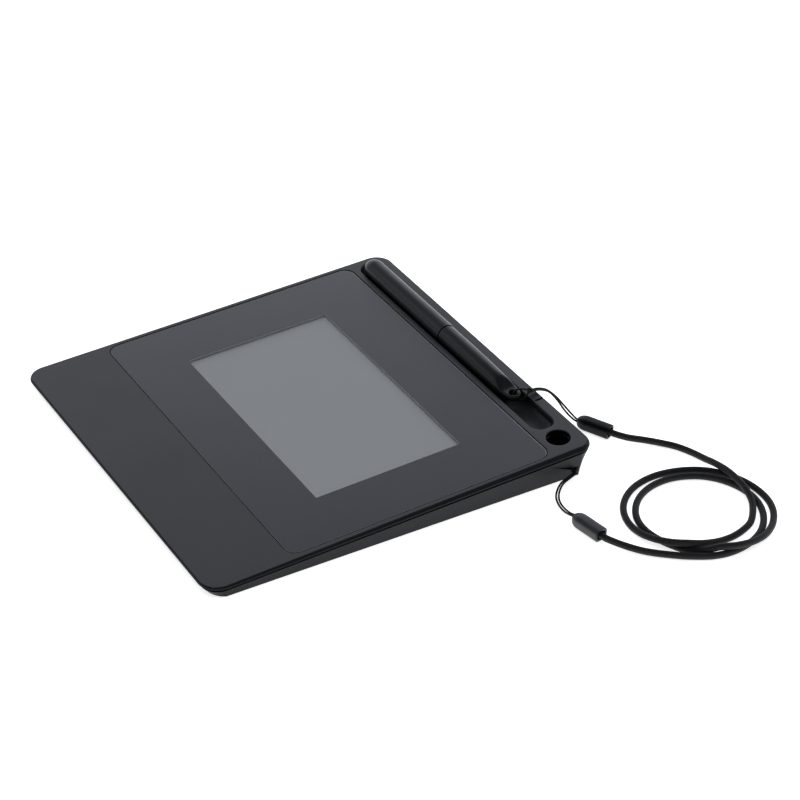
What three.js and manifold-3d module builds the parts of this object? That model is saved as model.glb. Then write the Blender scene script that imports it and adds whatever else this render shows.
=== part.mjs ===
// Signature pad: a tilted writing pad with a cover glass over a small display,
// a pen lying in a trough along the back edge, a hole that stands the pen up,
// and a tether cord from the pen's eyelet to the pad's back right corner.
// Millimetres, +Z up, +X to the user's right, +Y to the back.
// The origin is the middle of the pad's footprint, on the table.
import * as THREE from 'three';
import { mergeVertices } from 'three/addons/utils/BufferGeometryUtils.js';
import { ConvexGeometry } from 'three/addons/geometries/ConvexGeometry.js';
import Module from 'manifold-3d';

const wasm = await Module();
wasm.setup();

// Case, seen square to its top face
const CASE_WIDTH = 165;
const CASE_DEPTH = 170;
const CASE_CORNER = 7.5;
const CASE_TILT = THREE.MathUtils.degToRad(3.2);
const CASE_THICKNESS = 9.79;         // top face to underside at the middle of the display
const LIP_HEIGHT = 1.5;              // the top cover's own edge
const EDGE_FALL = 0.8;               // softened top edge
const EDGE_FALL_BACK_RIGHT = 2.2;    // growing to this along the right side
const EDGE_DROP = 1.1;               // how far down the softened edge reaches
const SEAM_GAP = 0.9;                // height of the dark open seam under the lip
const WINDOW_GAP = 0.3;              // room round the display in its window
const SEAM_STEP = 0.3;               // the lower shell stands this far inside the lip
const CASE_WALL = 1.6;
const CASE_FLOOR = 1.2;
const SIDE_DRAFT_SHARE = 0.2;        // how far a side wall leans in for its height
const BACK_DRAFT_SHARE = 0.48;
const FRONT_DRAFT_SHARE = 0.75;
const UNDERSIDE_ROUNDING = 0.35;
const JOINT_GAP = 0.25;              // between pieces that lie on each other
const OVERRUN = 2;                   // how far a cutting tool passes a face

// Display stack, measured from the top face downward
const DISPLAY_WIDTH = 108;
const DISPLAY_HEIGHT = 64.8;
const DISPLAY_FORWARD = 0.75;        // middle of the display in front of the glass's middle
const GLASS_SIDE_MARGIN = 3;
const GLASS_HEIGHT = 116;
const GLASS_FROM_BACK = 18.4;
const GLASS_CORNER = 5;
const GLASS_THICKNESS = 0.8;
const GLASS_DROP = 0.2;
const GLASS_SIDE_GAP = 0.3;
const TAPE_THICKNESS = 0.2;
const TAPE_INSET = 2.3;
const TAPE_PANEL_GAP = 1;
const RECESS_FLOOR = 0.8;
const RECESS_WALL = 0.5;             // floor beyond the glass pocket's side
const PANEL_BORDER = 4.5;            // display panel beyond its lit area
const CELL_THICKNESS = 0.8;
const BACKLIGHT_THICKNESS = 1.1;
const BOARD_THICKNESS = 0.6;
const SENSOR_BORDER = 8;
const SHIELD_THICKNESS = 0.25;
const SHIELD_INSET = 1;

// Pen trough and pen stand
const PEN_RADIUS = 4.6;
const PEN_AXIS_HEIGHT = 0.7;
const PEN_TROUGH_GAP = 0.3;
const TROUGH_FROM_BACK = 10;
const TROUGH_LEFT_MARGIN = 3.8;
const TROUGH_TO_STAND = 7.3;
const TROUGH_MOUTH = 10.6;
const TROUGH_MOUTH_DEPTH = 0.9;
const TROUGH_WALL = 1;
const STAND_FROM_RIGHT = 11.5;
const STAND_BORE = 10.2;
const STAND_WALL = 0.7;
const STAND_FLOOR = 0.8;
const STAND_MOUTH_FLARE = 0.3;
const NOTCH_FROM_TROUGH_END = 18.1;
const NOTCH_WIDTH = 1.1;
const NOTCH_DEPTH = 0.7;

// Feet and fasteners
const FOOT_RADIUS = 6;
const FOOT_HEIGHT = 0.3;
const FOOT_RECESS = 0.55;
const FOOT_SIDE_INSET = 22.5;
const FOOT_END_INSET = 19;
const HOUSING_SCREW_INSET = 9.5;
const HOUSING_SCREW_FROM_BACK = 27;
const HOUSING_SCREW_SPACING = 70;
const HOUSING_HEAD_RADIUS = 2.1;
const HOUSING_HEAD_HEIGHT = 1.2;
const HOUSING_SHANK_RADIUS = 0.9;
const HOUSING_HEAD_SINK = 0.5;       // head below the underside
const HOUSING_WEB = 1.2;             // floor left under the head
const HOUSING_THREAD = 2;
const BOSS_WALL = 1.4;
const SCREW_GAP = 0.3;
const DRIVE_ACROSS = 1.3;
const DRIVE_DEPTH = 0.6;

// Main board under the display's back edge
const MAIN_BOARD_LEFT_MARGIN = 20.5;
const MAIN_BOARD_TO_STAND = 37;
const MAIN_BOARD_DEPTH = 38.6;
const MAIN_BOARD_FROM_BACK = 6.4;
const MAIN_BOARD_DROP = 6.6;         // below the top face
const MAIN_BOARD_THICKNESS = 1;
const CHIP_HEIGHT = 0.75;
const CHIP_SETBACK = 13.6;           // middle of the main chip from the board's front edge
const CHIP_SPACING = 18;             // chips to the left and socket to the right of the board's middle
const MAIN_CHIP_SIZE = 14;
const MEMORY_CHIP_WIDTH = 12;
const MEMORY_CHIP_DEPTH = 8;
const CRYSTAL_WIDTH = 5;
const CRYSTAL_DEPTH = 3.2;
const CHIP_GAP = 1;
const BOARD_SCREW_HEAD_RADIUS = 1.7;
const BOARD_SCREW_HEAD_HEIGHT = 0.8;
const BOARD_SCREW_SHANK_RADIUS = 0.8;
const BOARD_SCREW_LENGTH = 3;
const BOARD_SCREW_INSET = 3.1;
const BOARD_SCREW_SPACING = 16.3;    // front row to back row
const USB_X = -35;
const USB_WIDTH = 8.9;
const USB_HEIGHT = 2.5;
const USB_LENGTH = 8;
const USB_SHELL = 0.35;
const USB_TONGUE = 0.7;
const USB_WALL_INSET = 0.2;
const USB_WINDOW_MARGIN = 1.6;
const RIBBON_WIDTH = 22;
const RIBBON_THICKNESS = 0.2;
const SOCKET_DEPTH = 4;
const SOCKET_FROM_BEND = 4.4;

// Pen, along its own axis from the nose to the eyelet
const PEN_NOSE_GAP = 1.5;            // nose to the trough's end
const PEN_FRONT_LENGTH = 64.7;
const PEN_REAR_LENGTH = 51.9;        // seam to the middle of the eyelet
const PEN_NOSE_LENGTH = 5.2;
const PEN_NOSE_FLAT = 1.5;
const PEN_WALL = 0.9;
const PEN_STEP = 0.25;               // the rear barrel is this much slimmer at the seam
const PEN_REAR_TAPER = 0.95;
const PEN_EYELET_RADIUS = 3.2;
const PEN_EYELET_HALF_THICKNESS = 1.3;
const PEN_EYELET_HOLE = 1.7;
const PEN_SCOOP_LENGTH = 9;
const PEN_SPIGOT_LENGTH = 9;
const NIB_RADIUS = 0.8;
const NIB_LENGTH = 26;
const NIB_REACH = 0.8;               // tip beyond the nose
const NIB_TRAVEL = 0.4;
const NIB_GUIDE_GAP = 0.3;
const FERRITE_RADIUS = 2.2;
const WINDING_RADIUS = 2.9;
const WINDING_LENGTH = 11;
const PRESSURE_PAD_LENGTH = 1.2;
const PRESSURE_CELL_LENGTH = 4;
const PRESSURE_CELL_RADIUS = 2.8;
const PEN_BOARD_LENGTH = 34;
const PEN_BOARD_WIDTH = 4;

// Tether
const CORD_RADIUS = 1.3;
const LOOP_RADIUS = 0.4;
const CORD_END_LENGTH = 16;
const CORD_END_WIDTH = 6;
const CORD_END_HEIGHT = 5.2;
const CORD_END_LIFT = 0.3;           // underside above the table
const CORD_GAP = 0.3;
const COIL_STEPS_A_TURN = 30;
const COIL_SIDES = 6;
const CORD_SIDES = 8;
const ANCHOR_FROM_RIGHT = 3.7;
const ANCHOR_FROM_BACK = 7;
const ANCHOR_DROP = 8.4;             // below the top face
const ANCHOR_POCKET_RADIUS = 2;
const ANCHOR_SLOT_HEIGHT = 2.2;
const ANCHOR_PIN_RADIUS = 0.6;
const ANCHOR_PIN_SEAT = 0.8;
const ANCHOR_BLOCK = 1.2;
const CREASE_LENGTH = 9.5;
const CREASE_RISE = 4.8;
const CREASE_DEPTH = 1.4;
const CREASE_HEIGHT = 1.5;
const KNOT_RADIUS = 1.3;

// Faces round a curve
const ROUND_SIDES = 32;
const SMALL_SIDES = 20;
const CORNER_STEPS = 6;
const EDGE_STEPS = 3;

const finishes = {
  caseAbs: { color: 0x434447, roughness: 0.62, metalness: 0 },
  glass: { color: 0x4c4f54, roughness: 0.3, metalness: 0 },
  display: { color: 0x7b7f83, roughness: 0.4, metalness: 0 },
  tape: { color: 0x17181a, roughness: 0.9, metalness: 0 },
  penAbs: { color: 0x242528, roughness: 0.38, metalness: 0 },
  nibPlastic: { color: 0x2b2b2d, roughness: 0.5, metalness: 0 },
  rubber: { color: 0x1b1b1c, roughness: 0.85, metalness: 0 },
  steel: { color: 0xb4b6b8, roughness: 0.35, metalness: 1 },
  blackSteel: { color: 0x2b2c2e, roughness: 0.45, metalness: 1 },
  circuit: { color: 0x1f4a34, roughness: 0.55, metalness: 0 },
  chip: { color: 0x1d1d1f, roughness: 0.6, metalness: 0 },
  ferrite: { color: 0x3a3735, roughness: 0.7, metalness: 0 },
  ribbon: { color: 0xb2742c, roughness: 0.5, metalness: 0 },
  cord: { color: 0x1e1e20, roughness: 0.8, metalness: 0 },
};
for (const [name, values] of Object.entries(finishes)) {
  finishes[name] = new THREE.MeshStandardMaterial({ name, ...values });
}

// Solids: closed meshes that can be joined and cut
function toSolid(geometry) {
  const bare = geometry.index ? geometry.toNonIndexed() : geometry.clone();
  bare.deleteAttribute('normal');
  bare.deleteAttribute('uv');
  const merged = mergeVertices(bare);
  const mesh = new wasm.Mesh({
    numProp: 3,
    vertProperties: new Float32Array(merged.attributes.position.array),
    triVerts: new Uint32Array(merged.index.array),
  });
  mesh.merge();
  return new wasm.Manifold(mesh);
}

function toGeometry(solid) {
  const mesh = solid.getMesh();
  const geometry = new THREE.BufferGeometry();
  geometry.setAttribute('position', new THREE.BufferAttribute(mesh.vertProperties, 3));
  geometry.setIndex(new THREE.BufferAttribute(mesh.triVerts, 1));
  geometry.computeVertexNormals();
  return geometry;
}

function joined(...solids) {
  return solids.reduce((whole, solid) => whole.add(solid));
}

function cut(solid, ...tools) {
  return tools.reduce((left, tool) => left.subtract(tool), solid);
}

// A skin over rings of points, each ring going round the same way from the lowest to the highest
function loft(rings) {
  const count = rings[0].length;
  const positions = [];
  const index = [];
  for (const ring of rings) {
    for (const point of ring) positions.push(point.x, point.y, point.z);
  }
  for (let level = 0; level < rings.length - 1; level++) {
    for (let i = 0; i < count; i++) {
      const a = level * count + i;
      const b = level * count + (i + 1) % count;
      index.push(a, b, b + count, a, b + count, a + count);
    }
  }
  const top = (rings.length - 1) * count;
  for (let i = 1; i < count - 1; i++) {
    index.push(0, i + 1, i);
    index.push(top, top + i, top + i + 1);
  }
  const geometry = new THREE.BufferGeometry();
  geometry.setAttribute('position', new THREE.Float32BufferAttribute(positions, 3));
  geometry.setIndex(index);
  return toSolid(geometry);
}

// Points and outward directions round a rectangle with round corners
function roundedOutline(width, depth, corner, middleX = 0, middleY = 0) {
  const points = [];
  const places = [[1, -1], [1, 1], [-1, 1], [-1, -1]];
  places.forEach(([sideX, sideY], number) => {
    const centreX = sideX * (width / 2 - corner);
    const centreY = sideY * (depth / 2 - corner);
    for (let step = 0; step <= CORNER_STEPS; step++) {
      const angle = (number - 1 + step / CORNER_STEPS) * Math.PI / 2;
      const outX = Math.cos(angle);
      const outY = Math.sin(angle);
      points.push({
        x: middleX + centreX + corner * outX,
        y: middleY + centreY + corner * outY,
        outX,
        outY,
      });
    }
  });
  return points;
}

// One ring of a loft: the outline drawn in by inset at the height of level
function ringOf(outline, level, inset) {
  return outline.map((point) => {
    const amount = typeof inset === 'function' ? inset(point) : inset;
    const x = point.x - point.outX * amount;
    const y = point.y - point.outY * amount;
    return new THREE.Vector3(x, y, typeof level === 'function' ? level({ x, y }) : level);
  });
}

function roundedPlate(width, depth, corner, top, thickness, middleX = 0, middleY = 0) {
  const outline = roundedOutline(width, depth, corner, middleX, middleY);
  return loft([ringOf(outline, top - thickness, 0), ringOf(outline, top, 0)]);
}

function block(left, right, front, back, bottom, top) {
  const geometry = new THREE.BoxGeometry(right - left, back - front, top - bottom);
  geometry.translate((left + right) / 2, (front + back) / 2, (bottom + top) / 2);
  return toSolid(geometry);
}

// An upright cylinder or cone between two heights
function post(x, y, bottom, top, radius, topRadius = radius, sides = SMALL_SIDES) {
  const geometry = new THREE.CylinderGeometry(topRadius, radius, top - bottom, sides);
  geometry.rotateX(Math.PI / 2);
  geometry.translate(x, y, (bottom + top) / 2);
  return toSolid(geometry);
}

// A body turned about a line along X, from pairs of place along the line and radius
function turned(profile, axisY, axisZ, sides = ROUND_SIDES) {
  const points = profile.map(([along, radius]) => new THREE.Vector2(radius, along));
  const geometry = new THREE.LatheGeometry(points, sides);
  geometry.rotateZ(-Math.PI / 2);
  geometry.translate(0, axisY, axisZ);
  return toSolid(geometry);
}

// A round bar with ball ends along X
function capsule(left, right, radius, y, z, sides = ROUND_SIDES) {
  const profile = [];
  const steps = sides / 4;
  for (let step = 0; step <= steps; step++) {
    const angle = step / steps * Math.PI / 2;
    profile.push([left + radius - radius * Math.cos(angle), radius * Math.sin(angle)]);
  }
  for (let step = 0; step <= steps; step++) {
    const angle = step / steps * Math.PI / 2;
    profile.push([right - radius + radius * Math.sin(angle), radius * Math.cos(angle)]);
  }
  profile[0][1] = 0;
  profile[profile.length - 1][1] = 0;
  return turned(profile, y, z, sides);
}

// A tube along points, as one closed body
function tube(points, radius, sides, steps) {
  const curve = new THREE.CatmullRomCurve3(points, false, 'centripetal');
  const section = new THREE.Shape();
  for (let side = 0; side < sides; side++) {
    const angle = side / sides * Math.PI * 2;
    const x = radius * Math.cos(angle);
    const y = radius * Math.sin(angle);
    if (side === 0) section.moveTo(x, y);
    else section.lineTo(x, y);
  }
  section.closePath();
  const geometry = new THREE.ExtrudeGeometry(section, {
    steps,
    extrudePath: curve,
    bevelEnabled: false,
  });
  return toSolid(geometry);
}

const pad = new THREE.Group();
const tilted = new THREE.Group();
pad.add(tilted);

const backEdge = CASE_DEPTH / 2;
const rightEdge = CASE_WIDTH / 2;
const rimLevel = -LIP_HEIGHT - SEAM_GAP;
const glassWidth = CASE_WIDTH - 2 * GLASS_SIDE_MARGIN;
const glassY = backEdge - GLASS_FROM_BACK - GLASS_HEIGHT / 2;
const displayY = glassY - DISPLAY_FORWARD;
const troughY = backEdge - TROUGH_FROM_BACK;
const standX = rightEdge - STAND_FROM_RIGHT;
const troughLeft = -rightEdge + TROUGH_LEFT_MARGIN;
const troughRight = standX - TROUGH_TO_STAND;
const notchX = troughRight - NOTCH_FROM_TROUGH_END;
const anchorX = rightEdge - ANCHOR_FROM_RIGHT;
const anchorY = backEdge - ANCHOR_FROM_BACK;
const anchorZ = -ANCHOR_DROP;

// The underside is level, so below the tilted top face it falls away to the back
const fall = Math.tan(CASE_TILT);
const middleDepth = CASE_THICKNESS - fall * displayY;
const undersideAt = (y) => -(middleDepth + fall * y);
const insideFloorAt = (y) => undersideAt(y) + CASE_FLOOR;
const tableDepth = middleDepth + FOOT_HEIGHT / Math.cos(CASE_TILT);
tilted.rotation.x = CASE_TILT;
tilted.position.y = -(LIP_HEIGHT + EDGE_FALL) * Math.sin(CASE_TILT) / 2;
tilted.position.z = tableDepth * Math.cos(CASE_TILT);
tilted.updateMatrixWorld();
const tableToCase = tilted.matrixWorld.clone().invert();

function addPiece(name, solid, finish, parent = tilted) {
  const mesh = new THREE.Mesh(toGeometry(solid), finishes[finish]);
  mesh.name = name;
  parent.add(mesh);
  return mesh;
}

// A solid made in the table's frame, brought into the case's
function inCase(solid) {
  const geometry = toGeometry(solid);
  geometry.applyMatrix4(tableToCase);
  return toSolid(geometry);
}

// Top cover
const glassBottom = -(GLASS_DROP + GLASS_THICKNESS);
const tapeTop = glassBottom - JOINT_GAP;
const recessFloorTop = tapeTop - TAPE_THICKNESS - JOINT_GAP;
const recessFloorBottom = recessFloorTop - RECESS_FLOOR;
const panelWidth = DISPLAY_WIDTH + 2 * PANEL_BORDER;
const panelHeight = DISPLAY_HEIGHT + 2 * PANEL_BORDER;
const troughRadius = PEN_RADIUS + PEN_TROUGH_GAP;
const troughSlotRadius = TROUGH_MOUTH / 2;
const caseOutline = roundedOutline(CASE_WIDTH, CASE_DEPTH, CASE_CORNER);

function edgeFallAt(point) {
  const share = Math.max(point.outX, 0) * (point.y + CASE_DEPTH / 2) / CASE_DEPTH;
  return EDGE_FALL + (EDGE_FALL_BACK_RIGHT - EDGE_FALL) * share;
}

const screwX = rightEdge - HOUSING_SCREW_INSET;
const screwBackY = backEdge - HOUSING_SCREW_FROM_BACK;
const screwFrontY = screwBackY - HOUSING_SCREW_SPACING;
const screwPlaces = [
  [-screwX, screwFrontY],
  [screwX, screwFrontY],
  [-screwX, screwBackY],
  [screwX, screwBackY],
];
const headTopAt = (y) => undersideAt(y) + HOUSING_HEAD_SINK + HOUSING_HEAD_HEIGHT;
const webTopAt = (y) => headTopAt(y) + SCREW_GAP + HOUSING_WEB;

function topCover() {
  const levels = [ringOf(caseOutline, -LIP_HEIGHT, 0)];
  for (let step = 0; step <= EDGE_STEPS; step++) {
    const angle = step / EDGE_STEPS * Math.PI / 2;
    levels.push(ringOf(
      caseOutline,
      -EDGE_DROP * (1 - Math.sin(angle)),
      (point) => edgeFallAt(point) * (1 - Math.cos(angle)),
    ));
  }
  const plate = loft(levels);
  const beyondGlass = GLASS_SIDE_GAP + RECESS_WALL;
  const underRecess = roundedPlate(
    glassWidth + 2 * beyondGlass, GLASS_HEIGHT + 2 * beyondGlass, GLASS_CORNER + beyondGlass,
    -LIP_HEIGHT / 2, -LIP_HEIGHT / 2 - recessFloorBottom, 0, glassY,
  );
  const tub = capsule(
    troughLeft - TROUGH_WALL, troughRight + TROUGH_WALL,
    troughRadius + TROUGH_WALL, troughY, PEN_AXIS_HEIGHT,
  );
  const tubBelow = tub.intersect(block(
    -CASE_WIDTH / 2, CASE_WIDTH / 2, 0, CASE_DEPTH / 2,
    undersideAt(backEdge), -LIP_HEIGHT / 2,
  ));
  const bosses = screwPlaces.map(([x, y]) => post(
    x, y, webTopAt(y) + JOINT_GAP, -LIP_HEIGHT / 2,
    HOUSING_SHANK_RADIUS + BOSS_WALL,
  ));
  const body = joined(plate, underRecess, tubBelow, ...bosses);

  const recess = roundedPlate(
    glassWidth + 2 * GLASS_SIDE_GAP, GLASS_HEIGHT + 2 * GLASS_SIDE_GAP,
    GLASS_CORNER + GLASS_SIDE_GAP,
    OVERRUN, OVERRUN - recessFloorTop, 0, glassY,
  );
  const panelWindow = block(
    -panelWidth / 2 - WINDOW_GAP, panelWidth / 2 + WINDOW_GAP,
    displayY - panelHeight / 2 - WINDOW_GAP,
    displayY + panelHeight / 2 + WINDOW_GAP,
    recessFloorBottom - OVERRUN, OVERRUN,
  );
  const trough = capsule(
    troughLeft, troughRight, troughRadius, troughY, PEN_AXIS_HEIGHT,
  );
  const slotOutline = roundedOutline(
    troughRight - troughLeft, TROUGH_MOUTH, troughSlotRadius * 0.999,
    (troughLeft + troughRight) / 2, troughY,
  );
  const mouthFlare = troughSlotRadius - troughRadius;
  const mouth = loft([
    ringOf(slotOutline, -TROUGH_MOUTH_DEPTH, mouthFlare),
    ringOf(slotOutline, 0, 0),
    ringOf(slotOutline, PEN_RADIUS, -mouthFlare),
  ]);
  const standHole = post(
    standX, troughY, -LIP_HEIGHT - OVERRUN, OVERRUN, STAND_BORE / 2, STAND_BORE / 2, ROUND_SIDES,
  );
  const standFlare = post(
    standX, troughY, -STAND_MOUTH_FLARE, STAND_MOUTH_FLARE,
    STAND_BORE / 2, STAND_BORE / 2 + 2 * STAND_MOUTH_FLARE, ROUND_SIDES,
  );
  const notch = block(
    notchX - NOTCH_WIDTH / 2, notchX + NOTCH_WIDTH / 2,
    troughY, CASE_DEPTH / 2 + OVERRUN, -NOTCH_DEPTH, OVERRUN,
  );
  const threadHoles = screwPlaces.map(([x, y]) => post(
    x, y, webTopAt(y) - OVERRUN, webTopAt(y) + JOINT_GAP + HOUSING_THREAD + SCREW_GAP,
    HOUSING_SHANK_RADIUS + SCREW_GAP,
  ));
  return cut(
    body, recess, panelWindow, trough, mouth, standHole, standFlare, notch, ...threadHoles,
  );
}
addPiece('top_cover', topCover(), 'caseAbs');

// Cover glass and the tape that holds it
function coverGlass() {
  return roundedPlate(
    glassWidth, GLASS_HEIGHT, GLASS_CORNER, -GLASS_DROP, GLASS_THICKNESS, 0, glassY,
  );
}
addPiece('cover_glass', coverGlass(), 'glass');

function glassTape() {
  const frame = roundedPlate(
    glassWidth - 2 * TAPE_INSET, GLASS_HEIGHT - 2 * TAPE_INSET, GLASS_CORNER,
    tapeTop, TAPE_THICKNESS, 0, glassY,
  );
  const middle = roundedPlate(
    panelWidth + 2 * TAPE_PANEL_GAP, panelHeight + 2 * TAPE_PANEL_GAP, TAPE_PANEL_GAP,
    tapeTop + OVERRUN, TAPE_THICKNESS + 2 * OVERRUN, 0, displayY,
  );
  return frame.subtract(middle);
}
addPiece('glass_tape', glassTape(), 'tape');

// Display stack under the glass
function panelSlab(border, top, thickness, corner = UNDERSIDE_ROUNDING) {
  return roundedPlate(
    DISPLAY_WIDTH + 2 * border, DISPLAY_HEIGHT + 2 * border, corner,
    top, thickness, 0, displayY,
  );
}
const cellTop = glassBottom - JOINT_GAP;
const backlightTop = cellTop - CELL_THICKNESS - JOINT_GAP;
const sensorTop = backlightTop - BACKLIGHT_THICKNESS - JOINT_GAP;
const shieldTop = sensorTop - BOARD_THICKNESS - JOINT_GAP;
const shieldBottom = shieldTop - SHIELD_THICKNESS;
addPiece('lcd_cell', panelSlab(PANEL_BORDER, cellTop, CELL_THICKNESS), 'display');
addPiece('backlight_unit', panelSlab(PANEL_BORDER, backlightTop, BACKLIGHT_THICKNESS), 'steel');
addPiece('sensor_board', panelSlab(SENSOR_BORDER, sensorTop, BOARD_THICKNESS), 'circuit');
addPiece(
  'shield_plate',
  panelSlab(SENSOR_BORDER - SHIELD_INSET, shieldTop, SHIELD_THICKNESS),
  'steel',
);

// Main board with its parts, its ribbon and the cable inlet
const mainBoardTop = -MAIN_BOARD_DROP;
const mainBoardBottom = mainBoardTop - MAIN_BOARD_THICKNESS;
const boardLeft = -rightEdge + MAIN_BOARD_LEFT_MARGIN;
const boardRight = standX - MAIN_BOARD_TO_STAND;
const boardX = (boardLeft + boardRight) / 2;
const boardBack = backEdge - MAIN_BOARD_FROM_BACK;
const boardFront = boardBack - MAIN_BOARD_DEPTH;
const boardScrewFront = boardFront + BOARD_SCREW_INSET;
const boardScrewBack = boardScrewFront + BOARD_SCREW_SPACING;
const boardScrewPlaces = [
  [boardLeft + BOARD_SCREW_INSET, boardScrewFront],
  [boardRight - BOARD_SCREW_INSET, boardScrewFront],
  [boardLeft + BOARD_SCREW_INSET, boardScrewBack],
  [boardRight - BOARD_SCREW_INSET, boardScrewBack],
];
const chipTop = mainBoardTop + JOINT_GAP + CHIP_HEIGHT;

function mainBoard() {
  const plate = roundedPlate(
    boardRight - boardLeft, MAIN_BOARD_DEPTH, UNDERSIDE_ROUNDING,
    mainBoardTop, MAIN_BOARD_THICKNESS, boardX, (boardFront + boardBack) / 2,
  );
  const holes = boardScrewPlaces.map(([x, y]) => post(
    x, y, mainBoardBottom - OVERRUN, mainBoardTop + OVERRUN, BOARD_SCREW_SHANK_RADIUS + SCREW_GAP,
  ));
  return cut(plate, ...holes);
}
addPiece('main_board', mainBoard(), 'circuit');

function chip(middleX, middleY, width, depth) {
  return block(
    middleX - width / 2, middleX + width / 2, middleY - depth / 2, middleY + depth / 2,
    chipTop - CHIP_HEIGHT, chipTop,
  );
}
const chipX = boardX - CHIP_SPACING;
const chipRowY = boardFront + CHIP_SETBACK;
const besideMainChip = MAIN_CHIP_SIZE / 2 + CHIP_GAP;
addPiece('main_chip', chip(chipX, chipRowY, MAIN_CHIP_SIZE, MAIN_CHIP_SIZE), 'chip');
addPiece(
  'memory_chip',
  chip(
    chipX, chipRowY + besideMainChip + MEMORY_CHIP_DEPTH / 2, MEMORY_CHIP_WIDTH, MEMORY_CHIP_DEPTH,
  ),
  'chip',
);
addPiece(
  'crystal_can',
  chip(chipX, chipRowY - besideMainChip - CRYSTAL_DEPTH / 2, CRYSTAL_WIDTH, CRYSTAL_DEPTH),
  'steel',
);

const ribbonX = boardX + CHIP_SPACING;
const ribbonBend = displayY + DISPLAY_HEIGHT / 2 + SENSOR_BORDER + 2 * JOINT_GAP;
const socketY = ribbonBend + SOCKET_FROM_BEND;
addPiece(
  'ribbon_socket',
  chip(ribbonX, socketY, RIBBON_WIDTH + 2 * BOSS_WALL, SOCKET_DEPTH),
  'chip',
);

// A flat strip that leaves the panel's back edge and bends down to its socket
function displayRibbon() {
  const start = displayY + panelHeight / 2 + JOINT_GAP;
  const high = recessFloorBottom - JOINT_GAP;
  const low = chipTop + JOINT_GAP;
  const end = socketY + SOCKET_DEPTH / 4;
  const thick = RIBBON_THICKNESS;
  const strip = new THREE.Shape();
  strip.moveTo(start, high);
  strip.lineTo(start, high - thick);
  strip.lineTo(ribbonBend, high - thick);
  strip.lineTo(ribbonBend, low);
  strip.lineTo(end, low);
  strip.lineTo(end, low + thick);
  strip.lineTo(ribbonBend + thick, low + thick);
  strip.lineTo(ribbonBend + thick, high);
  strip.closePath();
  const geometry = new THREE.ExtrudeGeometry(strip, { depth: RIBBON_WIDTH, bevelEnabled: false });
  geometry.rotateX(Math.PI / 2);
  geometry.rotateZ(Math.PI / 2);
  geometry.translate(ribbonX - RIBBON_WIDTH / 2, 0, 0);
  return toSolid(geometry);
}
addPiece('display_ribbon', displayRibbon(), 'ribbon');

const usbTop = mainBoardBottom - JOINT_GAP;
const usbMiddle = usbTop - USB_HEIGHT / 2;
const usbLean = BACK_DRAFT_SHARE * (rimLevel - usbTop + USB_HEIGHT);
const usbBack = backEdge - SEAM_STEP - usbLean - USB_WALL_INSET;

function usbReceptacle() {
  const outside = block(
    USB_X - USB_WIDTH / 2, USB_X + USB_WIDTH / 2, usbBack - USB_LENGTH, usbBack,
    usbTop - USB_HEIGHT, usbTop,
  );
  const inside = block(
    USB_X - USB_WIDTH / 2 + USB_SHELL, USB_X + USB_WIDTH / 2 - USB_SHELL,
    usbBack - USB_LENGTH + USB_TONGUE, usbBack + OVERRUN,
    usbTop - USB_HEIGHT + USB_SHELL, usbTop - USB_SHELL,
  );
  const tongue = block(
    USB_X - USB_WIDTH / 4, USB_X + USB_WIDTH / 4, usbBack - USB_LENGTH + USB_TONGUE / 2,
    usbBack - USB_TONGUE, usbMiddle - USB_TONGUE / 2, usbMiddle + USB_TONGUE / 2,
  );
  return outside.subtract(inside).add(tongue);
}
addPiece('usb_receptacle', usbReceptacle(), 'steel');

// Screws: a flat head with a hex recess, pointing up or down
function screw(x, y, headFace, headRadius, headHeight, shankRadius, length, way) {
  const spread = (from, to) => [Math.min(from, to), Math.max(from, to)];
  const [headLow, headHigh] = spread(headFace, headFace + way * headHeight);
  const [shankLow, shankHigh] = spread(headFace + way * headHeight / 2, headFace + way * length);
  const [driveLow, driveHigh] = spread(headFace - way * OVERRUN, headFace + way * DRIVE_DEPTH);
  const head = post(x, y, headLow, headHigh, headRadius);
  const shank = post(x, y, shankLow, shankHigh, shankRadius);
  const drive = post(x, y, driveLow, driveHigh, DRIVE_ACROSS / 2, DRIVE_ACROSS / 2, 6);
  return head.add(shank).subtract(drive);
}
screwPlaces.forEach(([x, y], number) => {
  const face = undersideAt(y) + HOUSING_HEAD_SINK;
  const length = webTopAt(y) + JOINT_GAP + HOUSING_THREAD - face;
  addPiece(
    `housing_screw_${number + 1}`,
    screw(x, y, face, HOUSING_HEAD_RADIUS, HOUSING_HEAD_HEIGHT, HOUSING_SHANK_RADIUS, length, 1),
    'blackSteel',
  );
});
boardScrewPlaces.forEach(([x, y], number) => {
  addPiece(
    `board_screw_${number + 1}`,
    screw(
      x, y, mainBoardTop + SCREW_GAP + BOARD_SCREW_HEAD_HEIGHT, BOARD_SCREW_HEAD_RADIUS,
      BOARD_SCREW_HEAD_HEIGHT, BOARD_SCREW_SHANK_RADIUS, BOARD_SCREW_LENGTH, -1,
    ),
    'steel',
  );
});

// Cup under the pen-stand hole
const cupTop = -LIP_HEIGHT - JOINT_GAP;
const cupBottom = insideFloorAt(troughY - STAND_BORE / 2) + JOINT_GAP;
function penStandCup() {
  const radius = STAND_BORE / 2;
  const outside = post(
    standX, troughY, cupBottom, cupTop, radius + STAND_WALL, radius + STAND_WALL, ROUND_SIDES,
  );
  const inside = post(
    standX, troughY, cupBottom + STAND_FLOOR, cupTop + OVERRUN, radius, radius, ROUND_SIDES,
  );
  return outside.subtract(inside);
}
addPiece('pen_stand_cup', penStandCup(), 'penAbs');

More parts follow.
